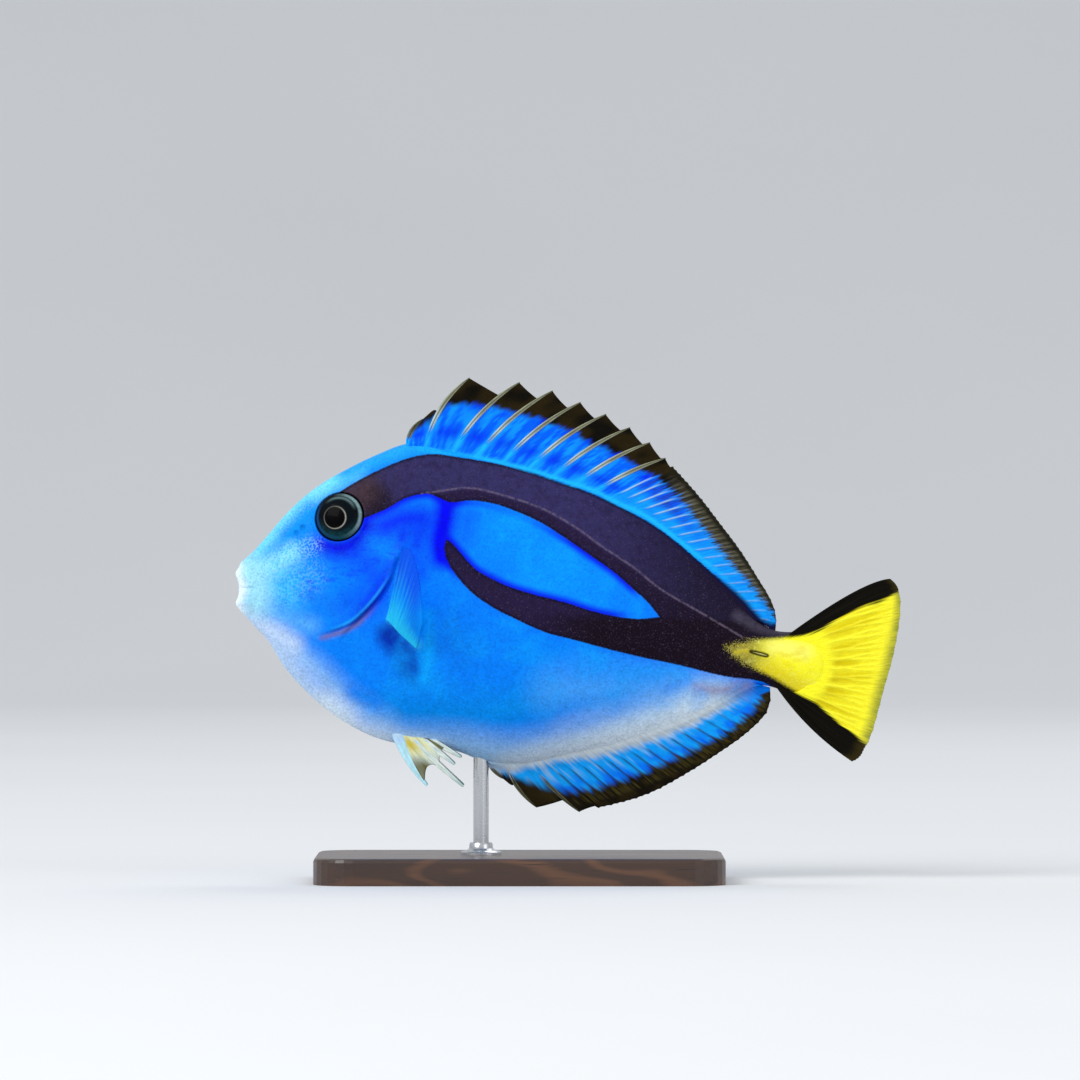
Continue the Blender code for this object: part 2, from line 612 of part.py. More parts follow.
def tail_blades(stem):
    """The folded blade on each side of the tail stem."""
    (x0, x1), (z0, z1) = TAIL_BLADE["x"], TAIL_BLADE["z"]
    for sign in SIDES.values():
        tall, out = TAIL_BLADE["half_height"], TAIL_BLADE["stand_out"]
        root_y, tip_y = side_y(x1, z1), side_y(x0, z0)
        points = [(x0, sign * (tip_y + BLADE_TIP_PROUD), z0)]
        for dz, dy in ((tall, -BLADE_SUNK), (0.0, out), (-tall, -BLADE_SUNK)):
            points.append((x1, sign * (root_y + dy), z1 + dz))
        points.append((x1 + BLADE_HEEL[0], sign * (root_y - BLADE_SUNK), z1))
        points.append((x0 + BLADE_HEEL[1], sign * (tip_y - BLADE_SUNK), z0))
        shape = bmesh.new()
        for p in points:
            shape.verts.new(Vector(map(float, p)) * MM)
        bmesh.ops.convex_hull(shape, input=shape.verts)
        bmesh.ops.recalc_face_normals(shape, faces=shape.faces)
        mesh = bpy.data.meshes.new("blade")
        shape.to_mesh(mesh)
        shape.free()
        combine(stem, new_object("blade", mesh), "UNION")


def stand(trunk):
    """A flat base, and a rod that fits a hole in it and a hole in the belly."""
    shape = bmesh.new()
    bmesh.ops.create_cube(shape, size=1.0)
    size = Vector((BASE_LENGTH, BASE_WIDTH, BASE_THICKNESS)) * MM
    bmesh.ops.scale(shape, vec=size, verts=shape.verts)
    upright = [e for e in shape.edges if e.verts[0].co.z * e.verts[1].co.z < 0]
    bmesh.ops.bevel(
        shape, geom=upright, offset=BASE_CORNER * MM, segments=CORNER_STEPS, profile=0.5,
        affect="EDGES",
    )
    top = [e for e in shape.edges if min(v.co.z for v in e.verts) > 0]
    bmesh.ops.bevel(
        shape, geom=top, offset=BASE_BEVEL * MM, segments=BEVEL_STEPS, profile=0.5,
        affect="EDGES",
    )
    mesh = bpy.data.meshes.new("stand_base")
    shape.to_mesh(mesh)
    shape.free()
    base = new_object("stand_base", mesh)
    lift = -MOUTH_HEIGHT + BASE_THICKNESS / 2
    base.data.transform(Matrix.Translation(Vector((BASE_X, 0, lift)) * MM))

    base_top = BASE_THICKNESS - MOUTH_HEIGHT
    foot = base_top - BASE_SOCKET_DEPTH
    head = float(belly_z(ROD_X)) + ROD_SUNK
    rod = cylinder("stand_rod", ROD_RADIUS, foot + GAP, head, ROD_X)
    above, below = ROD_HOLE_REACH
    hole = cylinder("hole", ROD_RADIUS + GAP, foot, base_top + above, ROD_X)
    combine(base, hole, "DIFFERENCE")
    hole = cylinder("hole", ROD_RADIUS + GAP, head - ROD_SUNK - below, head + GAP, ROD_X)
    combine(trunk, hole, "DIFFERENCE")
    return base, rod


# Finishes, as base colour, roughness and metallic value
FINISHES = {
    "blue_skin": ((0.02, 0.22, 0.80), 0.42, 0.0),
    "yellow_skin": ((0.90, 0.78, 0.04), 0.45, 0.0),
    "blue_fin": ((0.02, 0.20, 0.75), 0.40, 0.0),
    "yellow_fin": ((0.88, 0.80, 0.05), 0.45, 0.0),
    "pale_fin": ((0.72, 0.82, 0.78), 0.45, 0.0),
    "eye": ((0.01, 0.02, 0.02), 0.08, 0.0),
    "stand_wood": ((0.10, 0.06, 0.04), 0.50, 0.0),
    "stand_steel": ((0.62, 0.63, 0.65), 0.28, 1.0),
}


def finish(name):
    colour, roughness, metallic = FINISHES[name]
    material = bpy.data.materials.new(name)
    material.use_nodes = True
    shader = material.node_tree.nodes["Principled BSDF"]
    shader.inputs["Base Color"].default_value = (*colour, 1)
    shader.inputs["Roughness"].default_value = roughness
    shader.inputs["Metallic"].default_value = metallic
    return material


def clear_scene():
    for obj in list(bpy.data.objects):
        bpy.data.objects.remove(obj)


def main():
    clear_scene()
    head, trunk, stem = body_pieces()
    made = {head: "blue_skin", trunk: "blue_skin", stem: "yellow_skin"}
    for eye in eyes(head):
        made[eye] = "eye"
    nostrils(head)
    tail_blades(stem)
    made[dorsal_fin()] = "blue_fin"
    made[anal_fin()] = "blue_fin"
    made[tail_fin()] = "yellow_fin"
    for side, sign in SIDES.items():
        made[pectoral_fin(side, sign)] = "blue_fin"
        made[pelvic_fin(side, sign)] = "pale_fin"
    base, rod = stand(trunk)
    made[base] = "stand_wood"
    made[rod] = "stand_steel"

    whole = bpy.data.objects.new("fish_and_stand", None)
    bpy.context.scene.collection.objects.link(whole)
    whole.location = Vector((-TOTAL_LENGTH / 2, 0, MOUTH_HEIGHT)) * MM
    materials = {name: finish(name) for name in FINISHES}
    for obj, name in made.items():
        obj.parent = whole
        obj.data.materials.clear()
        obj.data.materials.append(materials[name])
        if name not in ("stand_wood", "stand_steel"):
            obj.data.shade_smooth()


main()
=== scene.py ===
"""A regal blue tang on its display stand, dressed for show.

The fish takes the place of the plain solids and keeps their sizes. Its own frame is in
millimetres: x runs aft from the tip of the snout, y is zero in the middle of the body with the
left side at negative y, and z is the height above the mouth.
"""

import logging
import math
from collections.abc import Callable, Sequence
from dataclasses import dataclass, field
from enum import Enum

import bpy
import numpy as np
from mathutils import Matrix, Vector


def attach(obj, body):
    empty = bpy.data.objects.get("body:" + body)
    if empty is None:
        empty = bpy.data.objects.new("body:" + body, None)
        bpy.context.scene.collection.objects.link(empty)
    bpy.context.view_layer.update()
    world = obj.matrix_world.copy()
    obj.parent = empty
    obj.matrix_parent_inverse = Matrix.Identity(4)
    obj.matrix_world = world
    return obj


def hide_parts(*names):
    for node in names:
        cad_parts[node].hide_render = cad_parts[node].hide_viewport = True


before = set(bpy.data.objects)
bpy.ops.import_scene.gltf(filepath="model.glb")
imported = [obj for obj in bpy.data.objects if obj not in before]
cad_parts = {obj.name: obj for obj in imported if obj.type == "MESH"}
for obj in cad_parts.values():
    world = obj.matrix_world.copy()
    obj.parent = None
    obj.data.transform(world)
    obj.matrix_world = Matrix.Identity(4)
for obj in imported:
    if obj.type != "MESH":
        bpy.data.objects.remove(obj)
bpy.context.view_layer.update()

log = logging.getLogger("blue_tang")

Array = np.ndarray
Colour = tuple[float, float, float]
Spot = tuple[float, float]
Socket = bpy.types.NodeSocket
Inputs = dict[str | int, object]
Piece = bpy.types.Object
Material = bpy.types.Material

MM = 0.001
TOTAL_LENGTH = 150
MOUTH_HEIGHT = 66  # the mouth above the table


class Side(Enum):
    """A side of a fish that faces -X, by the sign of y there."""

    LEFT = -1
    RIGHT = 1

    @property
    def label(self) -> str:
        """The side's name in the names of pieces."""
        return self.name.lower()


def display(red: float, green: float, blue: float) -> Colour:
    """Turns a colour as a screen shows it into linear light.

    Args:
        red: Red, from 0 to 255.
        green: Green, from 0 to 255.
        blue: Blue, from 0 to 255.

    Returns:
        The same colour as the shaders take it.
    """
    shares = [value / 255 for value in (red, green, blue)]
    return tuple(s / 12.92 if s <= 0.04045 else ((s + 0.055) / 1.055) ** 2.4 for s in shares)


def ease(start: float, end: float, value: Array) -> Array:
    """Rises smoothly from 0 at start to 1 at end."""
    s = np.clip((value - start) / (end - start), 0, 1)
    return s * s * (3 - 2 * s)


def fade(start: float, end: float, value: Array) -> Array:
    """Falls smoothly from 1 at start to 0 at end."""
    return 1 - ease(start, end, value)


def bell(distance: Array, width: float) -> Array:
    """Is 1 where distance is zero and fades over width."""
    return np.exp(-((distance / width) ** 2))


class Coating:
    """The colours of a piece's points, under the coats laid on so far."""

    def __init__(self, colour: Colour, shape: tuple[int, ...]) -> None:
        """Starts with one colour over points of this shape."""
        self.colours = np.broadcast_to(np.array(colour), (*shape, 3))

    def lay(self, colour: Colour | Array, cover: Array) -> Array:
        """Lays a coat over the others.

        Args:
            colour: Its colour, or the colour at each point.
            cover: How well it covers each point, from 0 to 1.

        Returns:
            The colours so far.
        """
        cover = np.clip(cover, 0, 1)[..., None]
        self.colours = self.colours * (1 - cover) + np.asarray(colour) * cover
        return self.colours


class Curve:
    """A smooth function through points, level beyond its ends."""

    def __init__(self, points: Sequence[Spot]) -> None:
        """Takes the points in order of their first value."""
        self.xs, self.zs = np.array(points, float).T
        self.slopes = np.gradient(self.zs, self.xs)

    def __call__(self, x: Array | float) -> Array:
        """Finds the second value at x.

        Args:
            x: The first value, or many.

        Returns:
            The second value for each.
        """
        x = np.clip(x, self.xs[0], self.xs[-1])
        i = np.clip(np.searchsorted(self.xs, x) - 1, 0, len(self.xs) - 2)
        step = self.xs[i + 1] - self.xs[i]
        s = (x - self.xs[i]) / step
        value = self.zs[i] * (1 + 2 * s) * (1 - s) ** 2
        value = value + self.slopes[i] * step * s * (1 - s) ** 2
        value = value + self.zs[i + 1] * s**2 * (3 - 2 * s)
        return value + self.slopes[i + 1] * step * s**2 * (s - 1)


class Path:
    """A smooth line through points, followed by its share of the whole distance."""

    def __init__(self, points: Sequence[Sequence[float]]) -> None:
        """Takes points of two or three values.

        Args:
            points: The points in order.
        """
        points = np.array(points, float)
        steps = np.linalg.norm(np.diff(points, axis=0), axis=1)
        reach = np.concatenate([[0], np.cumsum(steps)]) / steps.sum()
        self.parts = [Curve(list(zip(reach, values))) for values in points.T]

    def at(self, share: Array | float) -> Array:
        """Finds the points at these shares of the way."""
        return np.stack([part(share) for part in self.parts], axis=-1)


class Trace:
    """A smooth line drawn on the fish's side, kept as short straight steps."""

    def __init__(self, spots: Sequence[Spot], steps: int = 40) -> None:
        """Takes the line's points as (x, z), and how many steps to keep."""
        self.dots = Path(spots).at(np.linspace(0, 1, steps + 1))

    def near(self, x: Array, z: Array) -> tuple[Array, Array, Array]:
        """Finds the nearest place on the line.

        Args:
            x: Positions along the fish.
            z: Heights, in the same shape.

        Returns:
            The distance, which side of the line each point is on (positive to its left), and how
            far along the line the nearest place is, from 0 to 1.
        """
        best = np.full(np.shape(x), np.inf)
        side, share = np.zeros_like(best), np.zeros_like(best)
        count = len(self.dots) - 1
        for i, (start, end) in enumerate(zip(self.dots, self.dots[1:])):
            dx, dz = end - start
            along = ((x - start[0]) * dx + (z - start[1]) * dz) / (dx * dx + dz * dz)
            inside = np.clip(along, 0, 1)
            away = (x - start[0] - inside * dx) ** 2 + (z - start[1] - inside * dz) ** 2
            nearer = away < best
            best = np.where(nearer, away, best)
            turn = dx * (z - start[1]) - dz * (x - start[0])
            side = np.where(nearer, np.sign(turn), side)
            share = np.where(nearer, (i + inside) / count, share)
        return np.sqrt(best), side, share

    def signed(self, x: Array, z: Array) -> Array:
        """Gives the distance, positive on the line's left."""
        away, side, _ = self.near(x, z)
        return away * side


class Outline:
    """A closed shape on the fish's side, bounded by smooth lines end to end."""

    def __init__(self, *lines: Sequence[Spot], steps: int = 60) -> None:
        """Takes the lines in order round the shape."""
        self.traces = [Trace(line, steps) for line in lines]
        self.ring = np.concatenate([trace.dots for trace in self.traces])

    def depth(self, x: Array, z: Array) -> Array:
        """Gives how deep inside the shape each point is, negative outside.

        Args:
            x: The points' places along the fish.
            z: Their heights.

        Returns:
            The depth of each.
        """
        away = np.min([trace.near(x, z)[0] for trace in self.traces], axis=0)
        inside = np.zeros(np.shape(x), bool)
        for (x0, z0), (x1, z1) in zip(self.ring, np.roll(self.ring, -1, axis=0)):
            if z0 == z1:
                continue
            crosses = (z0 > z) != (z1 > z)
            inside ^= crosses & (x < x0 + (z - z0) / (z1 - z0) * (x1 - x0))
        return np.where(inside, away, -away)


class Grain:
    """Smooth random values over a plane, the same in every run."""

    def __init__(self, seed: int, size: int = 128) -> None:
        """Draws the values on a square grid that repeats."""
        self.values = np.random.default_rng(seed).random((size, size))

    def at(self, u: Array, v: Array) -> Array:
        """Reads values between 0 and 1, which change over about one unit of u and v.

        Args:
            u: The points' first coordinates.
            v: Their second ones.

        Returns:
            The value at each point.
        """
        size = len(self.values)
        i, j = np.floor(u).astype(int), np.floor(v).astype(int)
        s, t = u - i, v - j
        s, t = s * s * (3 - 2 * s), t * t * (3 - 2 * t)
        low = self.values[i % size, j % size] * (1 - s) + self.values[(i + 1) % size, j % size] * s
        high = self.values[i % size, (j + 1) % size] * (1 - s)
        high = high + self.values[(i + 1) % size, (j + 1) % size] * s
        return low * (1 - t) + high * t


def to_table(points: Array) -> Array:
    """Moves points from the fish's frame, in millimetres, to the table's, in metres."""
    return (points + (-TOTAL_LENGTH / 2, 0, MOUTH_HEIGHT)) * MM


def add_object(name: str, data: bpy.types.ID) -> Piece:
    """Puts a mesh, a light or a camera in the scene."""
    obj = bpy.data.objects.new(name, data)
    bpy.context.scene.collection.objects.link(obj)
    return obj


def make_mesh(name: str, points: Array, faces: list[list[int]]) -> Piece:
    """Makes a mesh that is shaded smooth, from points in metres.

    Args:
        name: The mesh's name.
        points: Its points.
        faces: Its faces, as point numbers.

    Returns:
        The new object.
    """
    mesh = bpy.data.meshes.new(name)
    mesh.from_pydata(points.tolist(), [], faces)
    mesh.shade_smooth()
    return add_object(name, mesh)


def make_piece(name: str, points: Array, faces: Array) -> Piece:
    """Makes one closed mesh with its faces turned outwards.

    Args:
        name: The piece's name.
        points: Its points in the fish's frame, one in each row.
        faces: Its faces, each a row of three or four point numbers.

    Returns:
        The object, shaded smooth.
    """
    points = np.asarray(points, float)
    a, b, c = points[faces[:, 0]], points[faces[:, 1]], points[faces[:, 2]]
    volume = np.einsum("ij,ij->i", a, np.cross(b, c)).sum()
    if faces.shape[1] == 4:
        d = points[faces[:, 3]]
        volume += np.einsum("ij,ij->i", a, np.cross(c, d)).sum()
    if volume < 0:
        faces = faces[:, ::-1]
    return make_mesh(name, to_table(points), faces.tolist())


class Layer(Enum):
    """What a piece's points can carry: Blender's type and the key of its values."""

    COLOUR = ("FLOAT_COLOR", "color")
    NUMBER = ("FLOAT", "value")
    VECTOR = ("FLOAT_VECTOR", "vector")


def carry(obj: Piece, name: str, layer: Layer, values: Array) -> None:
    """Gives each point of a piece a value, for its finish to read."""
    kind, key = layer.value
    attribute = obj.data.attributes.new(name, kind, "POINT")
    attribute.data.foreach_set(key, values.astype(np.float32).ravel())


def paint(obj: Piece, colours: Array) -> None:
    """Gives each point of a piece its own colour, under the name pigment."""
    rgba = np.concatenate([colours.reshape(-1, 3), np.ones((colours.size // 3, 1))], axis=1)
    carry(obj, "pigment", Layer.COLOUR, rgba)


def full_turn(steps: int) -> Array:
    """Gives the angles of equal steps round a circle."""
    return np.arange(steps) * 2 * math.pi / steps


def grid_faces(
    wide: int, high: int, first: int = 0, around: tuple[bool, bool] = (False, False)
) -> Array:
    """Numbers the squares of a grid of points.

    Args:
        wide: How many points the grid has across, the slower count.
        high: How many it has upwards.
        first: The number of its first point.
        around: Whether it closes on itself across and upwards.

    Returns:
        Four point numbers for each square.
    """
    across, upwards = (np.arange(n if shut else n - 1) for n, shut in zip((wide, high), around))
    i, j = (part.ravel() for part in np.meshgrid(across, upwards, indexing="ij"))
    after, above = (i + 1) % wide, (j + 1) % high
    corners = [i * high + j, after * high + j, after * high + above, i * high + above]
    return first + np.stack(corners, axis=1)


def tube_faces(rows: int, sides: int, first: int = 0) -> Array:
    """Numbers the squares of a tube, ring by ring."""
    return grid_faces(rows, sides, first, around=(False, True))[:, [0, 3, 2, 1]]


# How the body runs, in the solids' own sizes

BACK_POINTS = [
    (1.5, 6), (3.9, 8.1), (7.3, 11.9), (10.9, 16.1), (14.5, 19.7), (19, 23.2), (25.8, 27.1),
    (32.5, 30.3), (38.2, 32.4), (43.8, 32.5), (50.6, 31.4), (61.8, 28.7), (72.2, 25.4),
    (82.1, 21.7), (91.1, 16.9), (98.3, 11.4), (104.6, 5.8), (111.4, -1), (117.4, -7),
    (121, -9.4), (124, -9.9), (127.5, -9.6), (131, -9),
]
BELLY_POINTS = [
    (1.5, -5.4), (4.6, -8.9), (7.3, -11.8), (10.9, -17.6), (14.5, -21.8), (19, -26.1),
    (25.8, -30.9), (32.5, -34), (37, -35.1), (46.1, -35.8), (51.2, -37.2), (55.1, -38.8),
    (60.7, -39.8), (66.3, -39.6), (73.7, -38), (85.2, -35.6), (94.5, -32.5), (103.7, -28.9),
    (111.1, -24.8), (117.4, -21.9), (120.4, -22.2), (124, -23.4), (127.5, -24.6), (131, -25.9),
]
HALF_WIDTH_POINTS = [
    (1.5, 2.7), (6, 3.9), (12, 5.9), (20, 8.3), (28, 10), (36, 11.4), (46, 12.2),
    (58, 11.9), (72, 10.6), (86, 8.6), (98, 6.6), (108, 5), (116, 3.9),
    (122, 3.3), (127, 2.6), (131, 1.6),
]
WIDEST_POINTS = [(1.5, 0.5), (24, 0.55), (50, 0.46), (110, 0.5), (131, 0.5)]
BACK_POWER_POINTS = [(1.5, 0.5), (24, 0.48), (48, 0.74), (110, 0.66), (131, 0.5)]
BELLY_POWER_POINTS = [(1.5, 0.5), (24, 0.62), (60, 0.64), (110, 0.6), (131, 0.5)]


@dataclass
class Body:
    """The body's form from the lips to the end of the flesh, without its fine relief."""

    start: float = 1.5
    end: float = 131.0
    back: Curve = field(default_factory=lambda: Curve(BACK_POINTS))
    belly: Curve = field(default_factory=lambda: Curve(BELLY_POINTS))
    half_width: Curve = field(default_factory=lambda: Curve(HALF_WIDTH_POINTS))
    widest: Curve = field(default_factory=lambda: Curve(WIDEST_POINTS))
    back_power: Curve = field(default_factory=lambda: Curve(BACK_POWER_POINTS))
    belly_power: Curve = field(default_factory=lambda: Curve(BELLY_POWER_POINTS))
    lips: tuple[tuple[float, float, float], ...] = ((3.3, 0.85, 1.4), (-3.4, 0.85, 1.3))
    snout_bulge: float = 0.75
    snout_depth: float = 4.5
    lip_rounding: float = 2.6
    tail_bulge: float = 3.0
    tail_length: float = 12.0
    tail_rounding: float = 2.4

    def height(self, x: Array, level: Array) -> Array:
        """Gives the height at a level from 0, the belly, to 1, the back."""
        return self.belly(x) + level * (self.back(x) - self.belly(x))

    def level(self, x: Array, z: Array) -> Array:
        """Gives the level of a height at x."""
        return np.clip((z - self.belly(x)) / (self.back(x) - self.belly(x)), 0, 1)

    def half_thickness(self, x: Array, level: Array) -> Array:
        """Gives how far the side is from the middle.

        Args:
            x: Positions along the body.
            level: Levels from 0, the belly, to 1, the back.

        Returns:
            Half of the body's thickness there.
        """
        middle = self.widest(x)
        bend = np.log(0.5) / np.log(middle)
        power = np.where(level < middle, self.belly_power(x), self.back_power(x))
        section = np.maximum(np.sin(np.pi * level**bend), 0) ** power
        front = 1 - np.minimum((x - self.start) / self.lip_rounding, 1)
        rear = 1 - np.minimum((self.end - x) / self.tail_rounding, 1)
        rounding = np.sqrt(np.maximum(1 - front**2, 0) * np.maximum(1 - rear**2, 0))
        return self.half_width(x) * section * rounding

    def forward(self, x: Array, level: Array) -> Array:
        """Gives how far the lips and the snout stand forwards at a station.

        Args:
            x: Positions along the body.
            level: Shares of the height there.

        Returns:
            The distance for each.
        """
        z = self.height(x, level)
        reach = sum(out * bell(z - middle, half) for middle, out, half in self.lips)
        reach = reach + self.snout_bulge * np.sqrt(np.maximum(1 - (2 * level - 1) ** 2, 0))
        return reach * fade(self.start, self.start + self.snout_depth, x)

    def aft(self, x: Array, level: Array) -> Array:
        """Gives how far the flesh bows out into the tail fin at a station."""
        bow = self.tail_bulge * np.sin(np.pi * level)
        return bow * ease(self.end - self.tail_length, self.end, x)


# The markings, drawn on the side as (x, z)

BAND_TOP = [
    (22, 20.5), (25.8, 23), (30.3, 25.5), (35, 27.7), (39, 29.2), (44, 30.15),
    (50, 29.45), (56, 28.5), (62, 27.2), (68, 25.5), (74, 23.45), (80, 21.4),
    (86, 18.5), (92, 15.45), (98, 11.4), (104, 6.35), (110, 0.9), (115, -3.9),
    (119, -8), (122.5, -8.7), (124.5, -5), (126.5, 2), (140, 8), (156, 10),
]
# a painted highlight runs along this line, where the back's ridge turns into the dorsal fin
BACK_RIDGE_HIGHLIGHT = [
    (41.5, 31.2), (44, 30.8), (50, 29.9), (56, 29), (62, 27.7), (68, 26.1),
    (74, 24.1), (80, 22.2), (86, 19.2), (92, 16.4), (98, 12.2), (104, 7.3),
    (110, 2.6), (115, -2.3), (119, -5.5),
]
BELLY_LINE = [
    (55.5, -39.4), (60, -41), (63, -41.2), (67, -39.8), (74.4, -38.7), (80.7, -37.9),
    (87, -36.4), (93.3, -34.4), (99.6, -32.2), (105.9, -29.2), (112.3, -25.9), (117.3, -24.2),
]
BAND_REAR = [(156, 10), (157, -18), (156, -46)]
ARM_UNDER = [
    (156, -46), (140, -44), (128, -33), (119.7, -21.6), (110, -19.8), (99, -17.1),
    (88.8, -14.9), (77.4, -11.9), (68.8, -9.5), (63.4, -7), (58, -4.3), (53.5, -1.1),
    (50.3, 2.3), (48.2, 5.4), (47.1, 8.6), (47.6, 11),
]
ARM_TOP = [
    (47.6, 11), (49, 9.9), (51, 7.6), (54.2, 4.2), (58, 2), (62, 0.2), (67.2, -1.4),
    (74.2, -3.2), (79.8, -5), (85.2, -6.3), (91, -6.9), (95.4, -6.5),
]
BAND_UNDER = [
    (95.4, -6.5), (92.9, -3.3), (89.5, -0.2), (85.2, 3.6), (79.8, 7.4), (74.2, 11.3),
    (68.8, 14.7), (63.4, 17.2), (58, 19), (52.4, 19.7), (48.8, 19.2), (43.4, 21.2),
    (39.5, 20.6), (33.7, 17.6), (28.3, 15.3), (22, 12.5),
]
BAND_FRONT = [(22, 12.5), (21, 16.5), (22, 20.5)]
WEDGE_TOP = [
    (110.1, -13), (115, -11.8), (121.8, -11.2), (127.6, -10.7), (131.4, -9.5), (135.7, -6.8),
    (140.9, -4.2), (145.4, -2.9), (149.4, -0.9), (155, 2),
]
WEDGE_REAR = [(155, 2), (158, -16), (152, -43)]
WEDGE_UNDER = [
    (152, -43), (141.8, -35.1), (135.7, -30.2), (130.5, -25.6), (125.3, -23),
    (121.2, -20.4), (117.7, -18.7), (113.6, -16.6), (111.4, -14.8), (110.1, -13),
]
LATERAL_LINE = [
    (42, 21.2), (46.9, 21.9), (52.4, 22.5), (60.7, 20.7), (68.8, 18), (76.5, 13.7),
    (83, 9), (89.1, 5), (96, -0.5), (101.7, -3.8), (106.4, -6.5), (114, -11),
]
GILL_EDGE = [
    (37.4, 38), (38.6, 27), (40.4, 17.6), (40, 12.6), (38.4, 9.8), (36.2, 5.9),
    (34.9, 1.9), (33.2, -1), (30.3, -4.4), (26.7, -7.7), (23.2, -12.8), (20.8, -19.6),
    (19.4, -27.5), (18.8, -38),
]
GILL_FOLD = [(38, 9.6), (34.9, 1.9), (30.3, -4.4), (26.7, -7.7), (22.4, -9.6), (18, -10.8)]


@dataclass(frozen=True)
class Coat:
    """One soft coat of colour, sprayed along a line on the fish's side.

    screen is its colour as a screen shows it, width the middle of its faded edge, and feather
    how far the edge fades to either side.
    """

    screen: tuple[int, int, int]
    line: tuple[Spot, ...]
    width: float
    feather: float
    strength: float = 1.0

    def cover(self, x: Array, z: Array) -> Array:
        """Gives how well the coat covers each point."""
        away = Trace(self.line, 24).near(x, z)[0]
        inner, outer = self.width - self.feather, self.width + self.feather
        return self.strength * fade(inner, outer, away)


@dataclass(frozen=True)
class Ridge:
    """A low ridge along a line on the side, or a hollow where its height is negative."""

    height: float
    width: float
    line: tuple[Spot, ...]
    steps: int = 20

    def rise(self, x: Array, z: Array) -> Array:
        """Gives how far the ridge raises the skin."""
        return self.height * bell(Trace(self.line, self.steps).near(x, z)[0], self.width)


@dataclass(frozen=True)
class Spread:
    """A mark that is strongest along a line and fades out between two distances from it."""

    strength: float
    fading: Spot
    line: tuple[Spot, ...]
    steps: int = 24

    def share(self, x: Array, z: Array) -> Array:
        """Gives how strong the mark is at each point."""
        away = Trace(self.line, self.steps).near(x, z)[0]
        return self.strength * fade(*self.fading, away)


CHEEK_HOLLOW = Ridge(
    -0.16, 1.1, ((27.5, 9.5), (30, 3), (27.5, -2.5), (22, -6), (15, -6.8)), 40)
FIN_ROOT_RISE = Ridge(0.85, 1.9, ((35.2, -7), (38, -9.4), (41, -12.6)))
LIP_CREASE = Ridge(
    0.22, 0.6, ((3.4, 6.2), (4.7, 3.4), (5.2, 0), (4.6, -3.8), (3.6, -6.6)), 24)
RIDGES = {
    "pocket below the fin": Ridge(-0.3, 2.6, ((36.8, -12), (39.6, -15), (40, -18))),
    "wedge above the fin": Ridge(0.3, 1.6, ((38.2, 9), (36.6, 3), (36.2, -3))),
    "lateral line": Ridge(0.07, 0.3, tuple(LATERAL_LINE), 80),
    "brow": Ridge(0.3, 1.5, ((17.5, 19), (21, 22.6), (26.5, 22.4), (30, 19)), 30),
}
SPREADS = {
    "cheek": Spread(1, (3, 9), ((19, 3), (25, 3), (31, 8)), 20),
    "stem_haze": Spread(0.45, (0.1, 2.2), ((113, -6.2), (118, -8.8), (126, -9.9)), 16),
    "gold": Spread(0.75, (0.5, 4.5), ((120, -18.6), (125, -21.6), (130, -24.4)), 16),
    "shine": Spread(0.6, (0.2, 3.2), ((121, -13.2), (125, -13.6), (128, -14.5)), 16),
}
GLOW = Spread(
    0.8, (6.5, 10.5), ((29, 11), (37, 15), (46, 13), (60, 8), (82, 0.5)), 30)
DOTTED = (
    Spread(1, (0.8, 3.6), ((6, 4), (9, 6), (13, 8.2), (17.5, 9.4))),
    Spread(0.5, (0.8, 3.2), ((6, 10.2), (10, 14.4), (14, 18.2), (19, 22))),
    Spread(0.45, (1.5, 7), ((6, 0), (11, 0), (16, 3))),
)
GROUND_BLUE = display(2, 128, 252)
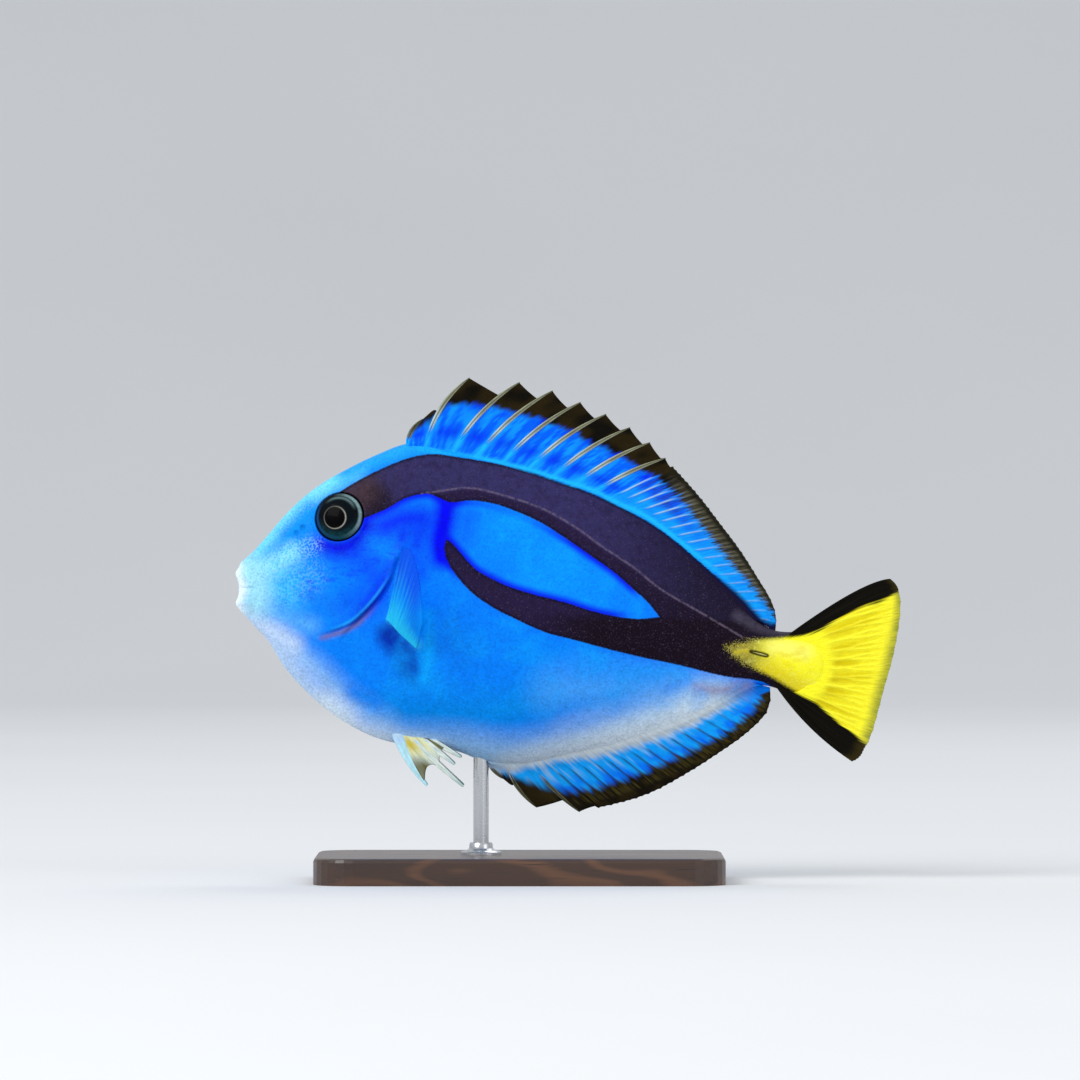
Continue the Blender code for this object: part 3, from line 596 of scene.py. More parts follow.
COATS = {
    "flank light": Coat((3, 134, 250), ((50, -12), (66, -14), (84, -19)), 3, 6, 0.8),
    "flank teal": Coat((0, 142, 236), ((36, -28), (50, -28), (62, -27), (68, -25)), 3, 7),
    "flank rear": Coat((66, 160, 250), ((72, -23), (86, -22.5), (99, -21)), 4, 6),
    "flank high rear": Coat((30, 142, 252), ((78, -16), (94, -18)), 2, 4, 0.7),
    "oval": Coat((2, 140, 252), ((60, 12), (66, 9.5), (79, 2)), 4.5, 5),
    "belly": Coat((158, 206, 248), (
        (36, -38), (50, -38.5), (62, -40), (76, -37.5), (94, -31.5), (108, -25.5)), 5.6, 5),
    "belly haze": Coat((132, 176, 244), ((73, -32), (78, -29.6), (83, -27.8)), 1.4, 3, 0.6),
    "flank rear blue": Coat((34, 132, 246), ((97, -22.6), (101, -20.8)), 1, 2.2, 0.6),
    "cream": Coat((220, 234, 244), (
        (62, -42), (73, -38.8), (85, -35.4), (98, -31.2), (107, -27.5)), 3.8, 3.8),
    "breast": Coat((122, 180, 244), ((11, -13), (18, -18), (24, -24), (34, -31)), 2, 3.8),
    "throat": Coat((180, 208, 240), ((5, -11), (10, -18), (16, -25), (21, -29.5)), 4.8, 4.2),
    "breast edge": Coat(
        (216, 234, 248), ((20, -29), (26, -33.4), (34, -37), (44, -39.5)), 4.4, 3.6),
    "cheek light": Coat((44, 172, 246), ((8, 1), (12.5, 0)), 4.6, 4.5),
    "cheek low": Coat((12, 124, 244), ((17, -1), (20, -3), (23, -5)), 2, 3),
    "jaw": Coat((84, 168, 246), ((6, -5), (11, -6.5), (17, -8.5)), 1.6, 2.8),
    "crown": Coat((112, 218, 252), (
        (3, 10), (9, 16.5), (14, 21.4), (19, 24.6), (25, 27.6)), 3.9, 2.6),
    "crown rear": Coat((30, 160, 240), ((25, 27), (30, 29.4), (36, 31.4), (44, 33)), 2.8, 2.4),
    "forehead": Coat((4, 142, 242), ((12.5, 12), (14.5, 14), (17, 17)), 2.2, 2.2),
    "snout band": Coat((118, 210, 242), ((4, 4), (8.5, 5), (12.5, 7.6)), 2, 2.6),
    "snout": Coat((156, 220, 240), ((1, 6), (4, 2), (4.5, -2), (3, -6)), 3.2, 3.6),
    "chin": Coat((190, 212, 242), ((1, -6), (5, -8.4), (9, -10), (13, -12.5)), 1.6, 3),
    "lips": Coat((238, 252, 253), ((0.2, 5), (0.4, 2.5), (1.4, 0), (0.4, -3), (0.4, -5)), 1.1, 1.7),
    "face deep": Coat((2, 82, 244), ((26, 8), (30, 5), (32, 0), (28, -4)), 3.4, 5),
    "behind head": Coat((2, 44, 238), ((34, 14), (38, 15.5), (42, 15.5)), 2.8, 3.4),
    "under eye": Coat((1, 4, 214), ((19.6, 10), (22.5, 9), (26, 9.8), (29.5, 14)), 1.9, 2.3),
    # painted shade along the gill fold
    "gill fold shade": Coat((1, 36, 224), ((38, 12), (35, 4), (31.5, -2.4), (28, -5.8)), 0.9, 2),
    "beside wedge": Coat((2, 62, 238), ((41.5, 13), (41, 9), (41, 4)), 2, 3),
    "oval front": Coat((3, 102, 250), ((52.5, 16), (51.5, 11.5)), 1.8, 2.8),
    "column": Coat((0, 4, 234), ((47.8, 20), (47.1, 15), (46.2, 10), (46.6, 7)), 2.5, 1.9),
    "wedge": Coat((2, 134, 238), ((38, 3), (38.6, -3), (41, -9)), 1.8, 3.2),
    # painted highlight on the pectoral fin's fleshy base, lit from above
    "lit fin root": Coat((60, 206, 246), ((35.6, -7.2), (38.4, -9.6), (41, -12.6)), 0.9, 1.4),
    # painted shadow under the pectoral fin's fleshy base
    "pocket": Coat(
        (0, 48, 172), ((34.8, -10.6), (37, -13.2), (38.6, -15.4), (39.4, -18.2)), 2.8, 2.2),
    "flank end": Coat((150, 140, 176), ((104, -22.6), (110, -23), (115, -21.6)), 1, 1.7, 0.85),
    "breast blue": Coat((2, 122, 240), ((27, -23.4), (31.5, -25.4)), 1.4, 2.6),
    "pocket edge": Coat((4, 164, 254), ((43.4, -6), (43.6, -13), (42.8, -20)), 1.2, 2),
    # painted highlight along the back's ridge at the dorsal fin's base
    "back ridge highlight": Coat((24, 180, 250), tuple(BACK_RIDGE_HIGHLIGHT), 0.5, 0.5, 0.9),
}


@dataclass(frozen=True)
class Marks:
    """Where each marking lies on a part of the fish."""

    x: Array
    z: Array

    def black(self) -> Array:
        """Gives the depth inside the black band and its lower arm."""
        lines = (BAND_TOP, BAND_REAR, ARM_UNDER, ARM_TOP, BAND_UNDER, BAND_FRONT)
        return Outline(*lines).depth(self.x, self.z)

    def yellow(self) -> Array:
        """Gives the depth inside the yellow wedge of the tail."""
        return Outline(WEDGE_TOP, WEDGE_REAR, WEDGE_UNDER, steps=40).depth(self.x, self.z)

    def ground(self) -> Array:
        """Gives the colour under the black and the yellow.

        Returns:
            The colour of each point.
        """
        coating = Coating(GROUND_BLUE, np.shape(self.x))
        for coat in COATS.values():
            coating.lay(display(*coat.screen), coat.cover(self.x, self.z))
        return coating.colours


class Recipe:
    """A material, made by adding nodes that feed its one shader."""

    def __init__(self, name: str) -> None:
        """Starts with a plain shader.

        Args:
            name: The material's name.
        """
        self.material = bpy.data.materials.new(name)
        self.material.use_nodes = True
        self.nodes = self.material.node_tree.nodes
        self.links = self.material.node_tree.links
        self.shader = self.nodes["Principled BSDF"]
        self.place = self.nodes.new("ShaderNodeTexCoord").outputs["Object"]

    def put(self, socket: Socket, value: object) -> None:
        """Links a socket to another, or sets it to a number or a colour.

        Args:
            socket: What is fed.
            value: What it is linked or set to.
        """
        if isinstance(value, Socket):
            self.links.new(value, socket)
        elif isinstance(value, tuple) and len(value) == 3 and socket.type == "RGBA":
            socket.default_value = (*value, 1)
        else:
            socket.default_value = value

    def node(self, kind: str, inputs: Inputs, **settings: object) -> bpy.types.Node:
        """Adds a node.

        Args:
            kind: The node's type, without the word ShaderNode.
            inputs: What each of its sockets is linked or set to.
            **settings: The node's own options.

        Returns:
            The new node.
        """
        made = self.nodes.new("ShaderNode" + kind)
        for name, value in settings.items():
            setattr(made, name, value)
        for name, value in inputs.items():
            self.put(made.inputs[name], value)
        return made

    def number(self, name: str) -> Socket:
        """Reads a number that the mesh carries."""
        return self.node("Attribute", {}, attribute_name=name).outputs["Fac"]

    def colour(self, name: str) -> Socket:
        """Reads a colour that the mesh carries."""
        return self.node("Attribute", {}, attribute_name=name).outputs["Color"]

    def stretched(self, place: Socket, stretch: tuple[float, float, float]) -> Socket:
        """Scales the place that a texture reads, by axis."""
        return self.node("Mapping", {"Vector": place, "Scale": stretch}).outputs["Vector"]

    def noise(self, size: float, detail: float = 2.0, place: Socket | None = None) -> Socket:
        """Adds noise whose blots are about size millimetres across."""
        inputs = {"Vector": place or self.place, "Scale": 1 / (size * MM), "Detail": detail}
        return self.node("TexNoise", inputs).outputs["Fac"]

    def cells(self, size: float, place: Socket | None = None, feature: str = "F1") -> Socket:
        """Adds the distance from the middles of cells about size millimetres across."""
        inputs = {"Vector": place or self.place, "Scale": 1 / (size * MM)}
        return self.node("TexVoronoi", inputs, feature=feature).outputs["Distance"]

    def sum(self, kind: str, first: object, second: object = 0.0, third: object = 0.0) -> Socket:
        """Does one sum, such as ADD or MULTIPLY."""
        return self.node("Math", {0: first, 1: second, 2: third}, operation=kind).outputs[0]

    def rise(self, value: Socket, low: float, high: float, top: float = 1.0) -> Socket:
        """Rises smoothly from 0 at low to top at high."""
        inputs = {"Value": value, "From Min": low, "From Max": high, "To Min": 0, "To Max": top}
        node = self.node("MapRange", inputs, interpolation_type="SMOOTHSTEP")
        return node.outputs["Result"]

    def between(self, value: Socket, low: float, high: float) -> Socket:
        """Turns a value from 0 to 1 into one from low to high."""
        inputs = {"Value": value, "To Min": low, "To Max": high}
        return self.node("MapRange", inputs).outputs["Result"]

    def mix(self, share: object, under: object, over: object, kind: str = "MIX") -> Socket:
        """Lays one colour over another."""
        node = self.node("Mix", {0: share, 6: under, 7: over}, data_type="RGBA", blend_type=kind)
        return node.outputs[2]

    def bump(self, height: Socket, depth: float, normal: Socket | None = None) -> Socket:
        """Adds fine relief, depth millimetres deep.

        Args:
            height: The relief, from 0 to 1.
            depth: What its whole range is, in millimetres.
            normal: Coarser relief under it, if any.

        Returns:
            The normal for the shader.
        """
        inputs: Inputs = {"Height": height, "Distance": depth * MM, "Strength": 1}
        if normal is not None:
            inputs["Normal"] = normal
        return self.node("Bump", inputs).outputs["Normal"]

    def finish(self, inputs: dict[str, object]) -> Material:
        """Feeds the shader and gives the material."""
        for name, value in inputs.items():
            self.put(self.shader.inputs[name], value)
        return self.material


@dataclass(frozen=True)
class SkinFinish:
    """Satin skin under minute scales, with the black band and the yellow tail wedge."""

    band_under_line: Colour = display(36, 26, 60)
    band_over_line: Colour = display(50, 46, 92)
    band_rear: Colour = display(20, 9, 20)
    band_brown: Colour = display(66, 48, 52)
    band_edge: Colour = display(10, 6, 26)
    band_grain: Colour = display(92, 78, 104)
    border: Colour = display(1, 10, 232)
    line: Colour = display(128, 112, 132)
    stem_haze: Colour = display(92, 86, 104)
    stem_yellow: Colour = display(146, 136, 54)
    bright_yellow: Colour = display(254, 247, 38)
    pale_yellow: Colour = display(252, 250, 130)
    deep_yellow: Colour = display(228, 206, 30)
    cloud: Colour = display(6, 160, 254)
    cheek_deep: Colour = display(2, 70, 250)
    pore: Colour = display(40, 160, 214)
    pore_light: Colour = display(176, 240, 250)
    streak: Colour = display(128, 92, 104)
    # painted shade in the gill fold
    crease: Colour = display(0, 30, 150)
    fold_light: Colour = display(40, 190, 252)
    # painted shade in the nostrils
    pit: Colour = display(8, 40, 80)
    # groove: painted shade in the groove round the tail blade
    groove: Colour = display(34, 28, 8)
    scale_size: float = 0.62
    speckle_size: float = 0.5

    def material(self) -> Material:
        """Mixes the skin.

        Returns:
            The skin's material, which reads the marks that the skin carries.
        """
        r = Recipe("skin")
        speckle = r.noise(self.speckle_size, 3)
        mottle = r.noise(1.5, 2)
        scales = r.cells(self.scale_size)
        colour = r.colour("pigment")
        cloud = r.noise(7, 3)
        blue = r.sum("MULTIPLY", r.rise(cloud, 0.42, 0.7, 0.45), r.number("clouds"))
        colour = r.mix(blue, colour, self.cloud)
        brushed = r.noise(1.6, 3, r.stretched(r.place, (0.5, 1, 1.6)))
        deep = r.sum("MULTIPLY", r.rise(brushed, 0.5, 0.72, 0.6), r.number("cheek"))
        colour = r.mix(deep, colour, self.cheek_deep)
        light = r.sum("ADD", r.between(speckle, 0.6, 1.4), r.between(mottle, -0.16, 0.16))
        colour = r.mix(1, colour, light, "MULTIPLY")

        pores = r.cells(0.5)
        near_pore = r.rise(pores, 0.36, 0.12, 0.5)
        colour = r.mix(r.sum("MULTIPLY", r.number("pores"), near_pore), colour, self.pore)
        far_pore = r.rise(pores, 0.42, 0.66, 0.32)
        colour = r.mix(r.sum("MULTIPLY", r.number("pores"), far_pore), colour, self.pore_light)
        # the fold's dark line is painted shade in the gill fold
        for name in ("streak", "crease", "fold_light"):
            colour = r.mix(r.number(name), colour, getattr(self, name))

        wander = r.between(speckle, -0.22, 0.22)
        black_depth = r.sum("ADD", r.number("black"), wander)
        glow = r.sum("MULTIPLY", r.rise(black_depth, -2, -0.2), r.number("glow"))
        colour = r.mix(glow, colour, self.border)
        over = r.rise(r.number("over_line"), -0.9, 0.5)
        band = r.mix(over, self.band_under_line, self.band_over_line)
        for name in ("band_rear", "band_brown", "stem_haze"):
            band = r.mix(r.number(name), band, getattr(self, name))
        band = r.mix(r.rise(r.number("black"), 0.9, 0.1, 0.75), band, self.band_edge)
        band = r.mix(r.rise(r.noise(0.32, 1), 0.56, 0.78, 0.42), band, self.band_grain)
        band = r.mix(r.rise(mottle, 0.4, 0.75, 0.35), band, self.band_rear)
        dash = r.rise(r.cells(0.75), 1, 0.3)
        on_line = r.sum("MULTIPLY", r.rise(r.number("line_distance"), 0.4, 0.06, 0.44), dash)
        band = r.mix(on_line, band, self.line)
        colour = r.mix(r.rise(black_depth, -0.22, 0.16), colour, band)

        stipple = r.noise(0.3, 2)
        stray = r.sum("MULTIPLY", r.between(stipple, -2.4, 2.4), r.number("wedge_tip"))
        yellow_depth = r.sum("ADD", r.number("yellow"), stray)
        yellow = r.mix(r.number("tail_share"), self.stem_yellow, self.bright_yellow)
        patches = r.noise(2.2, 3, r.stretched(r.place, (0.45, 1, 1)))
        yellow = r.mix(r.number("gold"), yellow, self.deep_yellow)
        yellow = r.mix(r.number("shine"), yellow, self.pale_yellow)
        yellow = r.mix(r.rise(patches, 0.5, 0.3, 0.5), yellow, self.deep_yellow)
        yellow = r.mix(r.rise(patches, 0.52, 0.75, 0.4), yellow, self.pale_yellow)
        yellow = r.mix(r.rise(speckle, 0.45, 0.75, 0.3), yellow, self.pale_yellow)
        # painted shade in the groove round the tail blade
        yellow = r.mix(r.rise(r.number("blade_groove"), 0.15, 0.8, 0.9), yellow, self.groove)
        colour = r.mix(r.rise(yellow_depth, -0.5, 0.9), colour, yellow)
        # painted shade darkens the nostrils
        colour = r.mix(r.number("pit"), colour, self.pit)

        fine = r.bump(speckle, 0.03)
        normal = r.bump(r.rise(scales, 0.1, 0.62), 0.04, fine)
        rough = r.between(mottle, 0.36, 0.52)
        return r.finish({
            "Base Color": colour, "Roughness": rough, "Normal": normal,
            "Specular IOR Level": 0.05,
        })


@dataclass(frozen=True)
class FinFinish:
    """Thin rayed membrane, painted point by point, with fine lines along the rays."""

    name: str
    roughness: tuple[float, float] = (0.34, 0.5)
    line_depth: float = 0.03

    def material(self) -> Material:
        """Mixes the membrane.

        Returns:
            The fin's material, which reads its colours and the lie of its rays.
        """
        r = Recipe(self.name)
        lie = r.node("Attribute", {}, attribute_name="lie").outputs["Vector"]
        lines = r.noise(1 / MM, 3, r.stretched(lie, (9, 0.55, 1)))
        speckle = r.noise(0.4, 2)
        light = r.sum("ADD", r.between(lines, 0.74, 1.26), r.between(speckle, -0.1, 0.1))
        colour = r.mix(1, r.colour("pigment"), light, "MULTIPLY")
        normal = r.bump(speckle, 0.02, r.bump(lines, self.line_depth))
        return r.finish({
            "Base Color": colour, "Roughness": r.between(lines, *self.roughness),
            "Normal": normal, "Specular IOR Level": 0.04,
        })


@dataclass(frozen=True)
class EyeFinish:
    """A wet eye: dark iris and pupil under a clear cornea."""

    fibre_size: float = 0.3

    def material(self) -> Material:
        """Mixes the eye, whose cornea is the shader's clear coat.

        Returns:
            The eye's material.
        """
        r = Recipe("eye")
        fibres = r.noise(self.fibre_size, 3)
        colour = r.mix(1, r.colour("pigment"), r.between(fibres, 0.55, 1.45), "MULTIPLY")
        return r.finish({
            "Base Color": colour, "Roughness": r.between(fibres, 0.28, 0.42),
            "Normal": r.bump(fibres, 0.04), "Coat Weight": 0.03, "Coat Roughness": 0.02,
            "Specular IOR Level": 0.02,
        })


@dataclass(frozen=True)
class WoodFinish:
    """Dark stained hardwood with a satin lacquer."""

    dark: Colour = display(44, 26, 16)
    light: Colour = display(104, 66, 40)
    pore: Colour = display(22, 12, 8)

    def material(self) -> Material:
        """Mixes the wood, with its grain along the base.

        Returns:
            The wood's material.
        """
        r = Recipe("stained_wood")
        wander = r.noise(22, 2, r.stretched(r.place, (0.35, 1, 1)))
        along = r.stretched(r.place, (0.06, 1, 1))
        bands = r.noise(3.4, 3, along)
        rings = r.sum("SINE", r.sum("MULTIPLY_ADD", wander, 60, r.sum("MULTIPLY", bands, 5)))
        colour = r.mix(r.between(rings, 0.2, 0.75), self.dark, self.light)
        colour = r.mix(r.rise(bands, 0.42, 0.7, 0.6), colour, self.dark)
        pores = r.rise(r.noise(0.5, 2, r.stretched(r.place, (0.05, 1, 1))), 0.6, 0.74)
        colour = r.mix(r.sum("MULTIPLY", pores, 0.7), colour, self.pore)
        normal = r.bump(r.sum("SUBTRACT", 1, pores), 0.05)
        return r.finish({
            "Base Color": colour, "Roughness": r.between(bands, 0.32, 0.5), "Normal": normal,
            "Coat Weight": 0.35, "Coat Roughness": 0.18,
        })


@dataclass(frozen=True)
class SteelFinish:
    """Steel with a fine brushed grain round the rod."""

    tone: Colour = (0.62, 0.63, 0.65)
    dark: Colour = (0.5, 0.51, 0.53)

    def material(self) -> Material:
        """Mixes the steel.

        Returns:
            The steel's material.
        """
        r = Recipe("brushed_steel")
        brushed = r.noise(0.16, 2, r.stretched(r.place, (0.12, 0.12, 1)))
        smudges = r.noise(6, 2)
        colour = r.mix(r.between(brushed, 0, 0.7), self.tone, self.dark)
        rough = r.sum("ADD", r.between(brushed, 0.2, 0.34), r.between(smudges, -0.04, 0.06))
        return r.finish({
            "Base Color": colour, "Metallic": 1, "Roughness": rough,
            "Normal": r.bump(brushed, 0.01),
        })


@dataclass(frozen=True)
class FloorFinish:
    """The pale paper of the studio's floor."""

    tone: Colour = (0.8, 0.81, 0.82)
    shade: Colour = (0.76, 0.77, 0.785)

    def material(self) -> Material:
        """Mixes the paper."""
        r = Recipe("studio_paper")
        colour = r.mix(r.noise(300, 2), self.tone, self.shade)
        return r.finish({"Base Color": colour, "Roughness": 0.95, "Specular IOR Level": 0})


def dress(obj: Piece, material: Material, slot: str, *nodes: str) -> None:
    """Finishes a piece and ties it to the solids.

    Args:
        obj: The new piece.
        material: Its finish.
        slot: The record's material slot; not used.
        *nodes: The solids that it takes the place of.
    """
    obj.data.materials.clear()
    obj.data.materials.append(material)
    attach(obj, "root")
    if nodes:
        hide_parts(*nodes)
    log.info("%s: %d faces, %s", obj.name, len(obj.data.polygons), material.name)


@dataclass
class EyePlace:
    """Where an eye sits in the head, and which way it looks."""

    side: Side
    body: Body
    x: float = 23.8
    z: float = 15.8
    sunk: float = 0.95
    radius: float = 5.65
    half_depth: float = 3.2
    turn: tuple[float, float] = (14, 13)  # forwards and up, in degrees

    def __post_init__(self) -> None:
        """Works out the middle and the eye's own axes."""
        sign = self.side.value
        level = self.body.level(self.x, self.z)
        out = float(self.body.half_thickness(self.x, level)) - self.sunk
        forwards, up = (math.radians(angle) * sign for angle in self.turn)
        turn = Matrix.Rotation(forwards, 3, "Z") @ Matrix.Rotation(up, 3, "X")
        self.middle = np.array([self.x, sign * out, self.z])
        self.aft = np.array(turn @ Vector((1, 0, 0)))
        self.outward = np.array(turn @ Vector((0, sign, 0)))
        self.upward = np.array(turn @ Vector((0, 0, 1)))

    def at(self, across: Array, up: Array, out: Array) -> Array:
        """Turns places in the eye's own axes into points of the fish."""
        parts = [across[..., None] * self.aft, up[..., None] * self.upward]
        return self.middle + parts[0] + parts[1] + out[..., None] * self.outward

    def radial(self, points: Array) -> Array:
        """Gives each point's distance from the eye's axis."""
        away = points - self.middle
        return np.hypot(away @ self.aft, away @ self.upward)


@dataclass
class Skin:
    """One unbroken skin over the head, the trunk and the tail stem."""

    body: Body
    head_step: float = 0.27
    body_step: float = 0.5
    tail_step: float = 0.32
    lip_rows: int = 22
    levels: int = 290
    cover_lift: float = 0.55
    cover_rise: tuple[float, float] = (12, 27)
    nostrils: tuple[tuple[float, float, float], ...] = ((15.3, 13.6, 0.62), (13.9, 12.4, 0.5))
    head_end: float = 46.0
    stem_start: float = 110.0
    spacing: Spot = (0.55, 0.45)  # of the levels: even, and closer at the back and the belly
    socket_depth: float = 2.8
    socket_edge: Spot = (5.05, 6.5)
    blade: tuple[Spot, Spot] = ((116, -14.3), (119.6, -15.2))

    def stations(self) -> Array:
        """Spaces the rows of the mesh along the body.

        Returns:
            Their x, closest at the rounded lips and on the head.
        """
        body = self.body
        turn = np.linspace(0, math.pi / 2, self.lip_rows)
        lips = body.start + body.lip_rounding * (1 - np.cos(turn))
        rounding = body.end - body.tail_rounding * (1 - np.cos(turn[::-1]))
        stretches = [lips]
        for start, end, step in (
            (lips[-1], self.head_end, self.head_step),
            (self.head_end, self.stem_start, self.body_step),
            (self.stem_start, rounding[0], self.tail_step),
        ):
            stretches.append(np.linspace(start, end, round((end - start) / step))[1:])
        return np.concatenate([*stretches, rounding[1:]])

    def relief(self, x: Array, z: Array) -> Array:
        """Gives the fine form that stands out of the plain body.

        Args:
            x: Positions along the body.
            z: Heights, in the same shape.

        Returns:
            How far the skin is raised outwards.
        """
        level = self.body.level(x, z)
        facing = np.sqrt(np.sin(np.pi * level))
        gill = Trace(GILL_EDGE, 80).signed(x, z)
        sharp = ease(-13, -7.5, z) * fade(5, 13, z)
        width = 6 - 5.55 * sharp
        lifted = fade(0, 1, gill / width + 0.3)
        raised = self.cover_lift * ease(*self.cover_rise, x) * facing * lifted
        raised -= 0.34 * bell(gill - 0.42, 0.4) * sharp
        raised += 0.16 * bell(gill + 0.55, 0.6) * sharp

        fold, _, share = Trace(GILL_FOLD, 60).near(x, z)
        front_fold = ease(0.45, 0.62, share) * fade(0.82, 1, share)
        raised -= 0.3 * bell(fold, 0.34) * front_fold
        raised += CHEEK_HOLLOW.rise(x, z)
        raised += FIN_ROOT_RISE.rise(x, z) * facing
        for ridge in RIDGES.values():
            raised += ridge.rise(x, z)
        for nostril_x, nostril_z, radius in self.nostrils:
            away = np.hypot(x - nostril_x, z - nostril_z)
            raised += 0.14 * bell(away - radius - 0.3, 0.3) - 0.4 * bell(away, radius)
        blade = Trace(self.blade, 10).near(x, z)[0]
        raised += 0.12 * bell(blade - 0.75, 0.4) - 0.4 * bell(blade, 0.4)
        mouth = 0.5 * bell(z + 0.1, 0.42) * fade(3.6, 4.9, x)
        return raised - (mouth + LIP_CREASE.rise(x, z))

    def outward(self, x: Array, z: Array) -> Array:
        """Gives the whole distance from the middle to the skin."""
        return self.body.half_thickness(x, self.body.level(x, z)) + self.relief(x, z)

    def build(self) -> Piece:
        """Makes the skin's mesh and its marks.

        Returns:
            The skin, without its finish.
        """
        xs = self.stations()
        q = np.arange(self.levels + 1) / self.levels
        even, closer = self.spacing
        level = (even * q + closer * (1 - np.cos(np.pi * q)) / 2)[None, :]
        x = np.repeat(xs[:, None], self.levels + 1, axis=1)
        level = np.repeat(level, len(xs), axis=0)
        z = self.body.height(x, level)
        flat_x = x - self.body.forward(x, level) + self.body.aft(x, level)
        y = self.body.half_thickness(x, level)
        y = np.maximum(y + self.relief(flat_x, z) * np.minimum(y, 1), 0)

        socket = EyePlace(Side.RIGHT, self.body)
        radial = socket.radial(np.stack([flat_x, y, z], axis=-1))
        y -= self.socket_depth * fade(*self.socket_edge, radial)
        y[0], y[-1], y[:, 0], y[:, -1] = 0, 0, 0, 0

        side = np.stack([flat_x, y, z], axis=-1)
        wide, high = x.shape
        left = side * (1, -1, 1)
        points = np.concatenate([left.reshape(-1, 3), side.reshape(-1, 3)])
        faces = grid_faces(wide, high)
        mirrored = grid_faces(wide, high, wide * high)[:, ::-1]
        shared = np.zeros((wide, high), bool)
        shared[0], shared[-1], shared[:, 0], shared[:, -1] = True, True, True, True
        number = np.arange(2 * wide * high)
        number[wide * high:][shared.ravel()] = np.arange(wide * high)[shared.ravel()]
        kept, number = np.unique(number, return_inverse=True)
        skin = make_piece("skin", points[kept], number[np.concatenate([faces, mirrored])])
        self.carry_marks(skin, np.tile(flat_x.ravel(), 2)[kept], np.tile(z.ravel(), 2)[kept])
        return skin

    def carry_marks(self, obj: Piece, x: Array, z: Array) -> None:
        """Gives a piece of skin its colours and its marks.

        Args:
            obj: The piece.
            x: Its points' positions along the fish.
            z: Their heights.
        """
        marks = Marks(x, z)
        paint(obj, marks.ground())

        def carry_number(name: str, values: Array) -> None:
            """Gives the piece one mark."""
            carry(obj, name, Layer.NUMBER, values)

        carry_number("black", marks.black())
        carry_number("yellow", marks.yellow())
        carry_number("glow", 0.12 + GLOW.share(x, z))
        for name, spread in SPREADS.items():
            carry_number(name, spread.share(x, z))
        column = Trace([(47.4, 20), (47, 12), (46.4, 6)], 16).near(x, z)[0]
        carry_number("clouds", ease(22, 34, x) * ease(-34, -22, z) * ease(2, 7, column))
        carry_number("band_brown", 0.75 * fade(2.5, 8, np.hypot(x - 27, z - 22.5)))
        carry_number("wedge_tip", 1 - 0.8 * ease(114, 120, x))
        carry_number("tail_share", ease(114.5, 123, x))
        arm = ease(62, 82, x) * fade(-8, -4, z) * 0.95
        behind_eye = 0.85 * fade(1.5, 6.5, np.hypot(x - 31.5, z - 19.5))
        shade = np.maximum(ease(72, 112, x) * 0.8, arm)
        carry_number("band_rear", np.maximum(shade, behind_eye))
        line = Trace(LATERAL_LINE, 80)
        away, side, _ = line.near(x, z)
        carry_number("line_distance", away)
        carry_number("over_line", np.where(side > 0, away, -away) * ease(38, 50, x) + 0.1)
        dotted = np.max([spread.share(x, z) for spread in DOTTED], axis=0)
        carry_number("pores", dotted * ease(2.5, 7, x))
        fold, side, share = Trace(GILL_FOLD, 60).near(x, z)
        below = np.where(side > 0, fold, -fold)
        streak = bell(below - 0.75, 0.62) * ease(0.42, 0.7, share) * fade(0.93, 1, share)
        carry_number("streak", 0.62 * streak)
        # painted shade along the crease of the gill fold
        crease = bell(fold - 0.1, 0.26) * ease(0, 0.5, share) * fade(0.8, 1, share)
        carry_number("crease", 0.6 * crease)
        along = ease(0.2, 0.4, share) * fade(0.7, 0.95, share)
        carry_number("fold_light", 0.5 * bell(below + 0.62, 0.3) * along)
        # painted shade in the nostrils
        pit = sum(bell(np.hypot(x - nx, z - nz), 0.8 * size) for nx, nz, size in self.nostrils)
        carry_number("pit", np.clip(pit, 0, 0.22))
        # painted shade in the groove round the tail blade
        blade = Trace(self.blade, 10).near(x, z)[0]
        carry_number("blade_groove", bell(blade, 0.5))

    def dress(self, obj: Piece, material: Material) -> None:
        """Finishes the skin, which takes the place of the three solids of flesh."""
        dress(obj, material, "blue_skin", "head", "trunk", "tail_stem")


@dataclass
class Orbit:
    """The smooth rim of skin round an eye, let into the head's skin at its outer edge."""

    place: EyePlace
    skin: Skin
    turns: int = 160
    steps: int = 26
    thickness: float = 0.9
    fitting_rounds: int = 4
    profile: tuple[Spot, ...] = (
        (7.2, -0.1), (6.8, 0), (6.45, 0.1), (6.18, 0.18), (5.97, 0.2), (5.81, 0.11),
        (5.73, -0.12), (5.7, -0.6), (5.68, -1.6),
    )

    def build(self) -> Piece:
        """Makes the rim as a closed band.

        Returns:
            The rim, with the marks of the skin round it.
        """
        radius, proud = Path(self.profile).at(np.linspace(0, 1, self.steps)).T
        turn = full_turn(self.turns)
        across = np.cos(turn)[:, None] * radius
        up = np.sin(turn)[:, None] * radius
        out = np.zeros_like(across)
        sign = self.place.side.value
        for _ in range(self.fitting_rounds):
            points = self.place.at(across, up, out)
            on_skin = np.stack(
                [points[..., 0], sign * self.skin.outward(points[..., 0], points[..., 2]),
                 points[..., 2]], axis=-1,
            )
            out = (on_skin - self.place.middle) @ self.place.outward
        top = self.place.at(across, up, out + proud)
        under = self.place.at(across, up, np.minimum(out + proud, out) - self.thickness)
        ring = np.concatenate([top, under[:, ::-1]], axis=1)
        faces = grid_faces(*ring.shape[:2], around=(True, True))
        rim = make_piece(f"orbit_{self.place.side.label}", ring.reshape(-1, 3), faces)
        flat = ring.reshape(-1, 3)
        self.skin.carry_marks(rim, flat[:, 0], flat[:, 2])
        return rim

    def dress(self, rim: Piece, material: Material) -> None:
        """Finishes the rim, which has no solid of its own."""
        dress(rim, material, "blue_skin")


